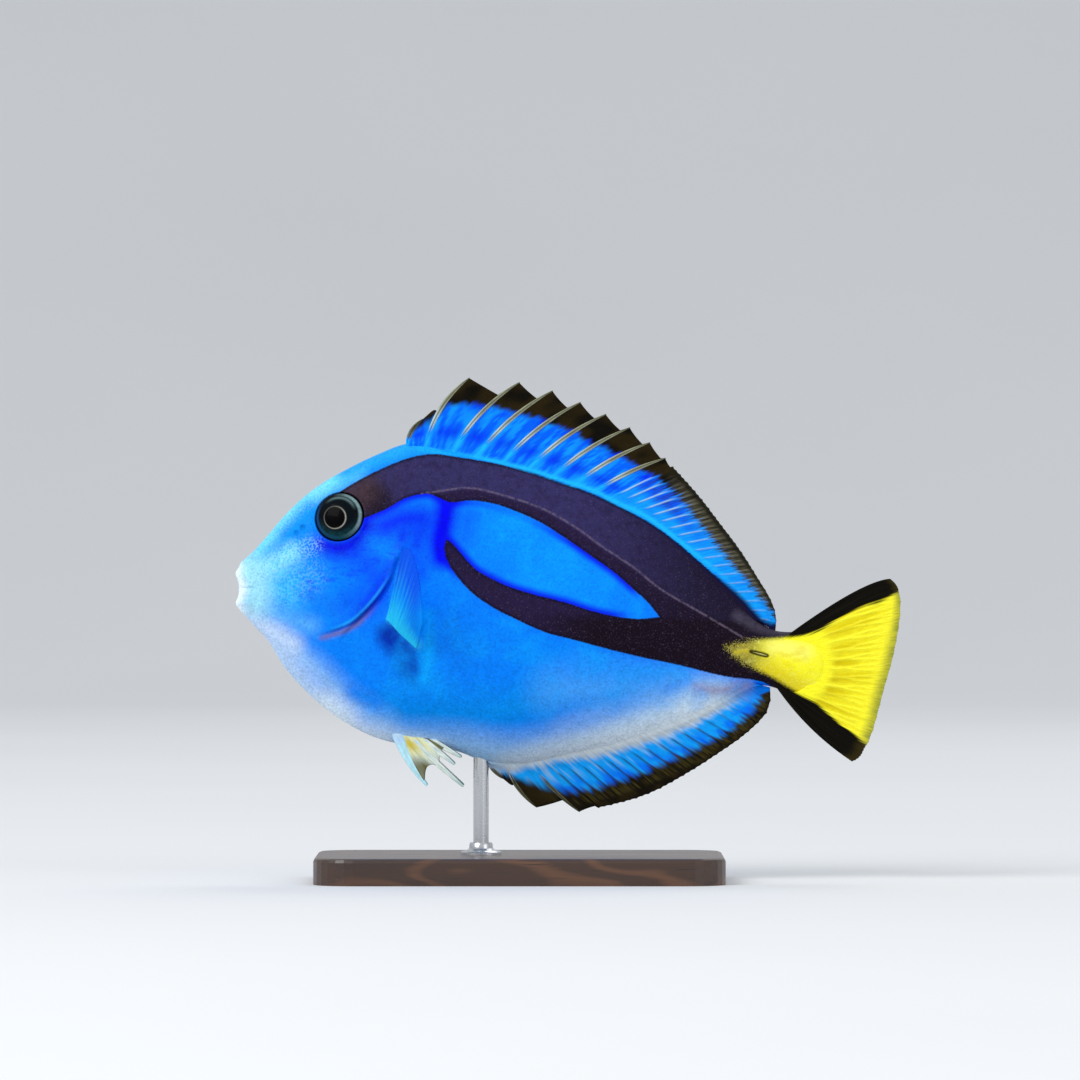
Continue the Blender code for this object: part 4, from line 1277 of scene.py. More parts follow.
@dataclass
class Eye:
    """An eyeball with its pupil and iris ring, and a painted reflection as a pale arc round the
    upper rim.
    """

    place: EyePlace
    turns: int = 128
    rings: int = 140
    pupil: float = 2.6
    ring: float = 0.11
    shift: Spot = (-0.65, -0.75)  # of the pupil from the ball's axis, aft and up
    black: Colour = display(3, 3, 5)
    iris: Colour = display(6, 14, 20)
    teal: Colour = display(16, 66, 72)
    # pale: the colour of a painted reflection on the rim
    grey: Colour = display(170, 166, 154)
    pale: Colour = display(132, 164, 168)
    blue: Colour = display(24, 66, 120)

    def build(self) -> Piece:
        """Makes the ball, with a low ring round the pupil, and paints it.

        Returns:
            The eye, without its finish.
        """
        place = self.place
        polar = np.linspace(0, math.pi, self.rings + 1)[1:-1]
        turn = full_turn(self.turns)
        radius = np.repeat(np.sin(polar)[None, :] * place.radius, self.turns, axis=0)
        height = np.repeat(np.cos(polar)[None, :] * place.half_depth, self.turns, axis=0)
        across, up = np.cos(turn)[:, None] * radius, np.sin(turn)[:, None] * radius
        near = 1 - (radius / place.radius) ** 2
        from_pupil = np.hypot(across - self.shift[0] * near, up - self.shift[1] * near)
        front = height > 0
        height = height + front * (
            0.05 * bell(from_pupil - self.pupil, 0.16) - 0.1 * bell(radius - 4.75, 0.35)
        )
        ball = place.at(across, up, height)
        poles = place.at(np.zeros(2), np.zeros(2), np.array([1, -1]) * place.half_depth)
        high = self.rings - 1
        points = np.concatenate([ball.reshape(-1, 3), poles])
        faces = grid_faces(self.turns, high, around=(True, False))
        cap = np.arange(self.turns)
        following = (cap + 1) % self.turns
        first, last = len(points) - 2, len(points) - 1
        caps = np.concatenate([
            np.stack([np.full_like(cap, first), following * high, cap * high], axis=1),
            np.stack([np.full_like(cap, last), cap * high + high - 1,
                      following * high + high - 1], axis=1),
        ])
        halves = np.concatenate([faces[:, [0, 1, 2]], faces[:, [0, 2, 3]], caps])
        eye = make_piece(f"eyeball_{place.side.label}", points, halves)
        colours = self.colours(across, up, radius, from_pupil)
        ends = np.array([self.black, self.black])
        paint(eye, np.concatenate([colours.reshape(-1, 3), ends]))
        return eye

    def colours(self, across: Array, up: Array, radius: Array, from_pupil: Array) -> Array:
        """Paints the iris from the pupil outwards.

        Args:
            across: Each point's place aft of the ball's axis.
            up: Its place above the axis.
            radius: Its distance from the axis.
            from_pupil: Its distance from the pupil's middle.

        Returns:
            The colours.
        """
        angle = np.arctan2(up, across)
        streaks = Grain(5).at(angle * 9, radius * 0.9)
        coating = Coating(self.iris, radius.shape)
        low = ease(0, 1, -np.sin(angle)) * ease(3.2, 4.4, radius)
        coating.lay(self.teal, (0.3 + 0.5 * streaks) * low)
        coating.lay(self.black, 0.9 * bell(radius - 4.5, 0.4) * ease(-1.5, 0.8, up))
        # painted reflection: a pale arc round the rim at the top and rear
        reflected_rear_top = ease(-0.2, 0.9, np.cos(angle - math.radians(12)))
        rim = ease(4.45, 4.85, radius) * fade(5.15, 5.4, radius)
        coating.lay(self.pale, rim * reflected_rear_top * (0.6 + 0.35 * streaks))
        front_low = ease(0.2, 0.9, np.cos(angle - math.radians(215)))
        coating.lay(self.blue, rim * front_low * 0.8)
        # painted reflection: a faint pale arc across the top of the iris
        top = ease(0.45, 0.95, np.cos(angle - math.radians(78)))
        coating.lay(self.pale, 0.4 * bell(radius - 4.1, 0.32) * top)
        coating.lay(self.teal, rim * ease(0.3, 0.9, np.cos(angle + math.pi / 2)) * 0.7)
        coating.lay(self.black, fade(self.pupil - 0.1, self.pupil, from_pupil))
        lit = 0.6 + 0.4 * np.cos(angle + math.radians(35))
        coating.lay(self.grey, bell(from_pupil - self.pupil, self.ring) * lit)
        return coating.lay(self.black, ease(5.3, 5.48, radius))

    def dress(self, obj: Piece, material: Material) -> None:
        """Finishes the eye, which takes the place of its plain solid."""
        dress(obj, material, "eye", f"eye_{self.place.side.label}")


class Ray:
    """A fin ray or spine, bent from its root on the body to its tip.

    It bows by bow towards the left of its way out, most of all a share bend of that way.
    """

    def __init__(
        self, root: Sequence[float], tip: Sequence[float], bow: float = 0.0, bend: float = 0.5
    ) -> None:
        """Takes both ends in the fish's frame.

        Args:
            root: The end on the body.
            tip: The other end.
            bow: How far it bows.
            bend: Where it bows most.
        """
        self.root, self.tip = np.array(root, float), np.array(tip, float)
        along = self.tip - self.root
        self.length = float(np.linalg.norm(along))
        across = np.array([-along[2], 0, along[0]]) / self.length
        self.elbow = self.root + bend * along + 2 * bow * across

    def at(self, v: Array) -> Array:
        """Gives the points at shares v of the way out, below the skin where v is negative.

        Args:
            v: The shares.

        Returns:
            A point for each.
        """
        out = np.maximum(v, 0)[..., None]
        below = np.minimum(v, 0)[..., None]
        curve = (1 - out) ** 2 * self.root + 2 * out * (1 - out) * self.elbow + out**2 * self.tip
        return curve + 2 * below * (self.elbow - self.root)


@dataclass(frozen=True)
class Forking:
    """How a soft ray's relief runs: its height and width in millimetres and its forks.

    Each fork starts at a share of the ray's length and spreads by a share of the gap between rays.
    """

    height: tuple[float, float] = (0.26, 0.12)
    width: tuple[float, float] = (0.3, 0.17)
    forks: tuple[tuple[float, float], ...] = ((0.42, 0.2), (0.72, 0.09))

    def relief(self, s: Array, v: Array, gap: Array) -> Array:
        """Gives how much of a ray's crest is at each place.

        Args:
            s: The place across the fin, counted in rays.
            v: The share of the way out.
            gap: The distance between neighbouring rays there.

        Returns:
            From 0 on the membrane to 1 on a crest.
        """
        across = s - np.round(s)
        width = self.width[0] + (self.width[1] - self.width[0]) * np.clip(v, 0, 1)
        offsets = [np.zeros_like(s)]
        for start, spread in self.forks:
            away = spread * ease(start, min(start + 0.35, 1.05), v)
            offsets = [offset + sign * away for offset in offsets for sign in (-1, 1)]
        crests = [bell((across - offset) * gap / width, 1) for offset in offsets]
        return np.max(crests, axis=0)


@dataclass
class FinGrid:
    """The points of a fin's sheet and what is known of each, column by column."""

    s: Array  # place across the fin, counted in rays
    f: Array  # share of the way from a ray to the next
    v: Array  # share of the way out along the rays
    middle: Array  # the points in the middle of the sheet
    crest: Array  # how much of a ray's crest is there
    edge: Array  # distance to the fin's margin
    spiny: Array  # 1 between spines, 0 between soft rays

    @property
    def beside_ray(self) -> Array:
        """How far across each point is from the nearest ray."""
        return self.s - np.round(self.s)

    @property
    def x(self) -> Array:
        """The points' places along the fish."""
        return self.middle[..., 0]

    @property
    def z(self) -> Array:
        """The points' heights."""
        return self.middle[..., 2]


@dataclass
class Sheet:
    """A fin's membrane, thin and closed, with its soft rays raised in both faces."""

    name: str
    rays: list[Ray]
    reach: Callable[[Array, Array], Array]
    first_soft: int = 0
    columns: int = 16
    rows: int = 70
    sunk: float = 1.8
    half: tuple[float, float, float] = (0.72, 0.11, 1.5)
    flare: Spot = (0.5, 1)
    forking: Forking = Forking()
    normal: tuple[float, float, float] | None = (0, 1, 0)
    wave: float = 0.22

    def grid(self) -> FinGrid:
        """Lays out the sheet's points.

        Returns:
            The grid, whose columns run out along the rays.
        """
        webs = len(self.rays) - 1
        k = np.repeat(np.arange(webs), self.columns)
        f = np.tile(np.arange(self.columns) / (self.columns - 0.02), webs)
        k, f = np.append(k, webs - 1), np.append(f, 1)
        reach = self.reach(k, f)[:, None]
        roots = np.array([ray.length for ray in self.rays])
        length = ((1 - f) * roots[k] + f * roots[k + 1])[:, None]
        share = np.linspace(0, 1, self.rows + 1)[None, :] ** 0.92
        v = -self.sunk / length + (reach + self.sunk / length) * share
        middle = np.zeros((*v.shape, 3))
        gap = np.zeros(v.shape)
        for web in range(webs):
            rows = k == web
            first, second = self.rays[web].at(v[rows]), self.rays[web + 1].at(v[rows])
            weight = f[rows][:, None, None]
            middle[rows] = (1 - weight) * first + weight * second
            gap[rows] = np.linalg.norm(second - first, axis=-1)
        s = np.repeat((k + f)[:, None], v.shape[1], axis=1)
        spiny = np.repeat((k < self.first_soft)[:, None], v.shape[1], axis=1).astype(float)
        crest = self.forking.relief(s, v, gap) * (1 - spiny)
        edge = (reach - v) * length
        f = np.repeat(f[:, None], v.shape[1], axis=1)
        return FinGrid(s, f, v, middle, crest, edge, spiny)

    def build(self, colour: Callable[[FinGrid], Array]) -> Piece:
        """Makes the sheet and paints it.

        Args:
            colour: What gives the grid's colours.

        Returns:
            The fin, without its finish.
        """
        g = self.grid()
        root, rim, thinning = self.half
        out = np.clip(g.v, 0, 1)
        half = rim + (root - rim) * (1 - out) ** thinning
        root_reach = self.flare[1] / np.median([ray.length for ray in self.rays])
        half += self.flare[0] * bell(np.maximum(g.v, 0), root_reach)
        height = self.forking.height
        rooted = ease(0, 0.16, g.v)
        half += g.crest * (height[0] + (height[1] - height[0]) * out) * (1 - out**8) * rooted
        if self.normal is None:
            across, along = np.gradient(g.middle, axis=0), np.gradient(g.middle, axis=1)
            normals = np.cross(across, along)
            normals /= np.maximum(np.linalg.norm(normals, axis=2), 1e-9)[..., None]
        else:
            normals = np.array(self.normal, float)
        sway = self.wave * out * np.sin(np.pi * (g.s % 2)) * (0.4 + 0.6 * g.spiny)
        middle = g.middle + normals * sway[..., None]
        front, back = middle + normals * half[..., None], middle - normals * half[..., None]
        wide, high = g.v.shape
        points = np.concatenate([front.reshape(-1, 3), back.reshape(-1, 3)])
        count = wide * high
        faces = [grid_faces(wide, high), grid_faces(wide, high, count)[:, ::-1]]
        number = np.arange(count).reshape(wide, high)
        a = np.concatenate([number[:, 0], number[-1, 1:], number[-2::-1, -1], number[0, -2:0:-1]])
        b = np.roll(a, -1)
        faces.append(np.stack([b, a, a + count, b + count], axis=1))
        fin = make_piece(self.name, points, np.concatenate(faces))
        paint(fin, np.tile(colour(g).reshape(-1, 3), (2, 1)))
        lie = np.stack([g.s, g.v * self.rays[len(self.rays) // 2].length, 0 * g.s], axis=-1)
        carry(fin, "lie", Layer.VECTOR, np.tile(lie.reshape(-1, 3), (2, 1)))
        return fin


@dataclass
class Spines:
    """A fin's hard spines, each tapered, oval and grooved along both flanks."""

    name: str
    rays: list[Ray]
    width: tuple[float, float] = (0.36, 0.1)
    swell: float = 0.32
    depth: tuple[float, float] = (1, 0.14)
    taper: float = 0.75
    groove: float = 0.42
    sunk: float = 1.8
    sides: int = 24
    rows: int = 60
    plane: tuple[float, float, float] = (0, 1, 0)

    def build(self, colour: Callable[[Array, Array, Array], Array]) -> Piece:
        """Makes the spines as closed bodies in one piece and paints them.

        Args:
            colour: Gives colours from the spine's number, the share of the way out and the turn
                round it.

        Returns:
            The spines, without their finish.
        """
        points, faces, colours, lies = [], [], [], []
        turn = full_turn(self.sides)
        flank = np.array(self.plane)
        for k, ray in enumerate(self.rays):
            below = self.sunk / ray.length
            v = -below + (1 + below) * np.linspace(0, 1, self.rows)
            line = ray.at(v)
            along = np.gradient(line, axis=0)
            along /= np.linalg.norm(along, axis=1)[:, None]
            across = np.cross(flank, along)
            across /= np.linalg.norm(across, axis=1)[:, None]
            thin = (1 - np.clip(v, 0, 1)) ** self.taper
            wide = self.width[1] + (self.width[0] - self.width[1]) * thin
            wide += self.swell * np.sin(np.pi * np.clip(v, 0, 1) ** 0.85)
            deep = self.depth[1] + (self.depth[0] - self.depth[1]) * thin
            blunt = np.sqrt(np.clip((1 - v) * ray.length / 0.35, 0, 1))
            cut = 1 - self.groove * bell(np.cos(turn), 0.32)
            ring_x = np.cos(turn)[None, :] * (wide * blunt)[:, None]
            ring_y = (np.sin(turn) * cut)[None, :] * (deep * blunt)[:, None]
            ring = line[:, None] + ring_x[..., None] * across[:, None] + ring_y[..., None] * flank
            start = sum(len(part) for part in points)
            points.append(ring.reshape(-1, 3))
            faces.append(tube_faces(self.rows, self.sides, start))
            points.append(line[:1])
            cap = np.arange(self.sides)
            hub = np.full_like(cap, start + self.rows * self.sides)
            faces.append(np.stack([hub, start + (cap + 1) % self.sides, start + cap, hub], axis=1))
            grid_v = np.repeat(v[:, None], self.sides, axis=1)
            grid_turn = np.repeat(turn[None, :], self.rows, axis=0)
            shades = colour(np.full_like(grid_v, k), grid_v, grid_turn).reshape(-1, 3)
            colours += [shades, shades[:1]]
            lie = np.stack([k + 0.1 * np.cos(grid_turn), grid_v * ray.length, 0 * grid_v], axis=-1)
            lies += [lie.reshape(-1, 3), lie.reshape(-1, 3)[:1]]
        corners = [list(dict.fromkeys(face)) for face in np.concatenate(faces).tolist()]
        spines = make_mesh(self.name, to_table(np.concatenate(points)), corners)
        paint(spines, np.concatenate(colours))
        carry(spines, "lie", Layer.VECTOR, np.concatenate(lies))
        return spines


def in_middle(x: float, z: float) -> tuple[float, float, float]:
    """Gives a point in the fish's middle plane."""
    return (float(x), 0, float(z))


@dataclass(frozen=True)
class FinColours:
    """The colours of the fins along the back and the belly."""

    line: Colour = display(28, 184, 252)
    web: Colour = display(2, 96, 242)
    web_light: Colour = display(14, 146, 252)
    patch: Colour = display(1, 36, 232)
    soft: Colour = display(16, 158, 246)
    streak: Colour = display(196, 214, 214)
    dark: Colour = display(36, 28, 10)
    darkest: Colour = display(14, 11, 6)
    soft_dark: Colour = display(48, 46, 34)
    soft_streak: Colour = display(112, 108, 90)
    bone: Colour = display(164, 167, 138)
    bone_pale: Colour = display(196, 216, 222)
    bone_dark: Colour = display(52, 50, 32)
    cream: Colour = display(180, 190, 212)
    flesh: Colour = display(50, 46, 92)
    flesh_rear: Colour = display(20, 9, 20)
    flesh_edge: Colour = display(6, 14, 60)


@dataclass
class MiddleFin:
    """A fin in the fish's middle plane, with hard spines in front of soft rays.

    Each spine has its root's x, its tip and its bow, each notch says how deep the web behind a
    spine is cut, and the soft rays' tips are spaced evenly along their margin.
    """

    body: Body
    solid: str
    spines: tuple[tuple[float, Spot, float], ...]
    notches: tuple[float, ...]
    soft_count: int
    soft_roots: Spot
    soft_margin: tuple[Spot, ...]
    dark_edge: tuple[Spot, ...]
    colours: FinColours = FinColours()

    def rays(self) -> list[Ray]:
        """Places the spines and the soft rays.

        Returns:
            The rays in order.
        """
        edge = self.body_edge()
        rays = [Ray(in_middle(x, edge(x)), in_middle(*tip), bow) for x, tip, bow in self.spines]
        margin = Path(self.soft_margin)
        for share in np.linspace(0, 1, self.soft_count):
            x = self.soft_roots[0] + (self.soft_roots[1] - self.soft_roots[0]) * share
            rays.append(Ray(in_middle(x, edge(x)), in_middle(*margin.at(share))))
        return rays

    def reach(self, web: Array, f: Array) -> Array:
        """Gives how far out the membrane reaches, as a share of the rays' length.

        Args:
            web: Each web's number.
            f: The share of the way across it.

        Returns:
            The reach, as a share of the rays' length.
        """
        notches = np.array([*self.notches, *[0] * self.soft_count])[web]
        spiny = web < len(self.notches)
        hard = 1 - notches * f - 0.03 * f * (1 - f) - 0.012
        soft = 1 - 0.012 * np.abs(np.sin(2 * np.pi * f)) - 0.02 * f * (1 - f)
        return np.where(spiny, hard, soft)

    def dress(self, pieces: list[Piece], material: Material) -> None:
        """Finishes the fin in place of its solid."""
        for piece in pieces:
            dress(piece, material, "blue_fin", self.solid)


@dataclass
class DorsalFin(MiddleFin):
    """The fin along the back: nine spines and nineteen soft rays."""

    solid: str = "dorsal_fin"
    spines: tuple[tuple[float, Spot, float], ...] = (
        (38.7, (42.4, 38.1), 0.7), (43, (52.8, 47.4), 1.6), (49.4, (64.1, 46.4), 1.3),
        (55, (71.6, 44.5), 1.2), (60.9, (77.9, 41.9), 1.1), (66.5, (83.6, 39.2), 1),
        (71.9, (89, 36.2), 0.9), (77, (93.5, 32.8), 0.8), (81.4, (97, 29.3), 0.6),
    )
    notches: tuple[float, ...] = (0.6, 0.25, 0.17, 0.14, 0.12, 0.1, 0.08, 0.05, 0.03)
    soft_count: int = 19
    soft_roots: Spot = (84.8, 119)
    soft_margin: tuple[Spot, ...] = (
        (98.6, 27.4), (102.4, 23.2), (104.8, 20.4), (109.2, 14.6), (113.7, 8.6), (118.1, 1.6),
        (120.6, -2.6), (121.8, -6.2), (121.6, -9.9),
    )
    dark_edge: tuple[Spot, ...] = (
        (38, 34.8), (42, 36.4), (47.5, 41), (52, 41.6), (58, 41), (63.4, 39.4),
        (68.8, 37.8), (75.3, 35.3), (79.8, 33), (85.2, 30.6), (90.6, 27.2), (96, 23.6),
        (101.7, 18.1), (107.1, 10.9), (112.5, 4.3), (117.9, -2), (121, -6.4),
    )

    def body_edge(self) -> Curve:
        """Gives the edge of the body that the fin stands on."""
        return self.body.back

    def colour(self, g: FinGrid) -> Array:
        """Paints the membrane.

        Args:
            g: The membrane's grid.

        Returns:
            Its colours.
        """
        c = self.colours
        slant = g.s + 0.5 * g.v
        streaks = Grain(11).at(slant * 10, g.v * 3)
        blots = Grain(12).at(slant * 2.3, g.v * 5)
        fine = Grain(13).at(slant * 21, g.v * 5)
        coating = Coating(c.web, g.s.shape)
        light = 0.4 * streaks + 0.3 * blots + 0.3 * fine
        coating.lay(c.web_light, 1.4 * ease(0.4, 0.72, light))
        between = np.sin(np.pi * g.f)
        low = bell(g.v - 0.17, 0.09) * (0.7 + 0.3 * fine)
        coating.lay(c.patch, g.spiny * 0.85 * between * low)
        above_rear = bell(g.v - 0.6, 0.13) * ease(0.3, 0.8, g.f) * ease(0.25, 0.5, blots)
        coating.lay(c.patch, g.spiny * 0.85 * above_rear)
        near_ray = g.spiny * bell(g.beside_ray, 0.11)
        coating.lay(c.line, near_ray * fade(0.1, 0.4, g.v) * 0.8)
        soft = 1 - g.spiny
        coating.lay(c.soft, soft * (0.55 + 0.4 * streaks))
        high = ease(0.24, 0.5, g.v) * fade(98, 108, g.x)
        coating.lay(c.patch, soft * high * 0.75 * (1 - g.crest))
        coating.lay(c.soft_dark, soft * high * 0.5 * ease(0.4, 0.7, fine) * (1 - g.crest))
        ray_line = bell(g.beside_ray - 0.02, 0.072)
        on_ray = soft * ray_line * ease(0.1, 0.26, g.v) * fade(0.5, 0.74, g.v)
        fading = 1 - 0.6 * ease(92, 112, g.x)
        coating.lay(c.streak, on_ray * fading * (0.7 + 0.3 * fine))
        above = Trace(self.dark_edge, 60).signed(g.x, g.z)
        ragged = (0.7 + 0.8 * soft) * (fine - 0.5) + (streaks - 0.5) - 0.5 * soft * g.crest
        cover = ease(-0.8, 0.8, above + ragged)
        dark = Coating(c.dark, g.s.shape)
        dark.lay(c.darkest, ease(0.3, 0.8, blots))
        inner = Coating(c.soft_dark, g.s.shape)
        inner.lay(c.soft_streak, (0.25 + 0.6 * g.crest) * fade(1.2, 3.4, above))
        inner.lay(c.darkest, ease(0.4, 0.75, fine) * 0.7 * (1 - g.crest))
        inner.lay(c.darkest, 0.75 * fade(0.4, 1.3, g.edge))
        inner.lay(c.soft_dark, 0.6 * bell(g.edge - 0.1, 0.35))
        dark.lay(inner.colours, soft * ease(0, 1, (g.x - 96) / 6))
        coating.lay(dark.colours, cover)
        # painted highlight along the back's ridge where the fin meets it
        highlight_away = Trace(BACK_RIDGE_HIGHLIGHT, 70).near(g.x, g.z)[0]
        fading = 1 - 0.8 * ease(102, 113, g.x)
        coating.lay(c.line, bell(highlight_away, 0.45 + 0.3 * fine) * fading)
        under = Marks(g.x, g.z).black()
        flesh = Coating(c.flesh, g.s.shape)
        flesh.lay(c.flesh_rear, 0.8 * ease(72, 112, g.x))
        flesh.lay(c.flesh_edge, 0.8 * fade(0.1, 0.9, under))
        soft_edge = 0.2 + 1.2 * ease(106, 114, g.x)
        return coating.lay(flesh.colours, ease(-soft_edge, 0.15, under + 0.25 * (fine - 0.5)))

    def spine_colour(self, k: Array, v: Array, turn: Array) -> Array:
        """Paints the spines: blue at the root, then bone with a dark groove.

        Args:
            k: The spine's number.
            v: The share of the way out.
            turn: The turn round the spine.

        Returns:
            The colours.
        """
        c = self.colours
        grain = Grain(14).at(k * 5.3 + turn, v * 14)
        coating = Coating(c.bone, v.shape)
        coating.lay(c.bone_dark, 0.9 * bell(np.cos(turn), 0.34) + 0.3 * grain)
        coating.lay(c.bone, 0.4 * bell(np.cos(turn) - 0.05, 0.09))
        coating.lay(c.bone_dark, 0.6 * bell(np.abs(np.cos(turn)) - 1, 0.08))
        coating.lay(c.bone_dark, 0.45 * ease(0.72, 1, v))
        coating.lay(c.bone_pale, 0.7 * bell(v - 0.3, 0.16) * (1 - bell(np.cos(turn), 0.2)))
        coating.lay(c.dark, 0.7 * (k == 0))
        coating.lay(c.web_light, fade(0.1, 0.26, v + 0.06 * (grain - 0.5)))
        return coating.lay(c.line, fade(0.02, 0.12, v))

    def build(self) -> list[Piece]:
        """Makes the membrane and the spines.

        Returns:
            The pieces, without their finish.
        """
        rays = self.rays()
        hard = len(self.spines)
        sheet = Sheet("dorsal_membrane", rays, self.reach, first_soft=hard, columns=15, rows=72)
        spines = Spines("dorsal_spines", rays[:hard])
        return [sheet.build(self.colour), spines.build(self.spine_colour)]


@dataclass
class AnalFin(MiddleFin):
    """The fin under the belly: three spines and eighteen soft rays."""

    solid: str = "anal_fin"
    spines: tuple[tuple[float, Spot, float], ...] = (
        (57, (60.4, -43), -0.3), (61, (68, -49.5), -0.9), (66.6, (77.6, -50.5), -0.6),
    )
    notches: tuple[float, ...] = (0.62, 0.28, 0.04)
    olive: Colour = display(80, 72, 30)
    soft_count: int = 18
    soft_roots: Spot = (69.8, 118.6)
    soft_margin: tuple[Spot, ...] = (
        (81.8, -49.6), (86.6, -48.5), (91.1, -47.2), (95.6, -45.3), (100.1, -42.8),
        (104.6, -40.1), (109.1, -37.1), (113.6, -34), (117, -31.1), (119.6, -28.3),
        (120.6, -24.8), (120.4, -22.4),
    )
    dark_edge: tuple[Spot, ...] = (
        (56, -39.6), (60.5, -41.6), (66, -43.8), (72, -45.6), (77, -46), (82, -45),
        (88.8, -42.8), (97.8, -39.2), (106, -35.2), (113.4, -30.5), (117.4, -26.6),
        (119.5, -22),
    )

    def body_edge(self) -> Curve:
        """Gives the edge of the body that the fin stands on."""
        return self.body.belly

    def colour(self, g: FinGrid) -> Array:
        """Paints the membrane.

        Args:
            g: The membrane's grid.

        Returns:
            Its colours.
        """
        c = self.colours
        streaks = Grain(21).at(g.s * 6, g.v * 2.5)
        fine = Grain(22).at(g.s * 17, g.v * 5)
        blots = Grain(23).at(g.s * 2.1, g.v * 5)
        coating = Coating(c.soft, g.s.shape)
        coating.lay(c.web, 0.75 * ease(0.35, 0.75, blots) * ease(0.2, 0.6, g.v))
        pale = ease(0.5, 0.9, streaks) * fade(0.2, 0.5, g.v) * (1 - 0.7 * ease(92, 104, g.x))
        coating.lay(c.streak, 0.35 * pale)
        coating.lay(c.patch, 0.6 * ease(0.4, 0.7, g.v) * ease(0.4, 0.8, streaks))
        ray_line = bell(g.beside_ray, 0.09) * ease(0.16, 0.34, g.v)
        coating.lay(c.dark, 0.72 * ray_line * fade(104, 116, g.x))
        below = -Trace(self.dark_edge, 50).signed(g.x, g.z)
        ragged = 1.2 * (fine - 0.5) + (streaks - 0.5) + 0.7 * bell(g.beside_ray, 0.2)
        dark = Coating(c.dark, g.s.shape)
        dark.lay(c.darkest, ease(0.35, 0.7, blots) * 0.8)
        inner = ease(0.4, 0.85, fine) * fade(2.2, 3.4, below) * ease(66, 80, g.x)
        dark.lay(self.olive, 0.5 * inner)
        dark.lay(c.darkest, 0.5 * bell(g.edge - 0.3, 0.4))
        coating.lay(dark.colours, ease(-1.2, 1.1, below + 0.8 * ragged))
        above = Trace(BELLY_LINE, 60).signed(g.x, g.z)
        base = ease(-1.3, 0.9, above + 1.1 * (streaks - 0.5))
        shade = 0.7 + 0.16 * (fine[..., None] - 0.5) + 0.12 * ease(-0.5, 2, 1 - above[..., None])
        return coating.lay(shade * Marks(g.x, g.z).ground(), base)

    def spine_colour(self, k: Array, v: Array, turn: Array) -> Array:
        """Paints the spines: cream at the root, olive towards the tip.

        Args:
            k: The spine's number.
            v: The share of the way out.
            turn: The turn round the spine.

        Returns:
            The colours.
        """
        c = self.colours
        grain = Grain(24).at(k * 5.3 + turn, v * 14)
        coating = Coating(c.bone_dark, v.shape)
        coating.lay(c.bone, 0.4 * (1 - bell(np.cos(turn), 0.3)))
        coating.lay(c.dark, 0.5 * grain + 0.3 * ease(0.5, 1, v))
        return coating.lay(c.cream, fade(0.12, 0.36, v))

    def build(self) -> list[Piece]:
        """Makes the membrane and the spines.

        Returns:
            The pieces, without their finish.
        """
        rays = self.rays()
        hard = len(self.spines)
        sheet = Sheet(
            "anal_membrane", rays, self.reach, first_soft=hard, columns=16, rows=66,
            flare=(0.6, 1.4),
        )
        spines = Spines("anal_spines", rays[:hard], width=(0.4, 0.09), swell=0.2, depth=(0.8, 0.1))
        return [sheet.build(self.colour), spines.build(self.spine_colour)]


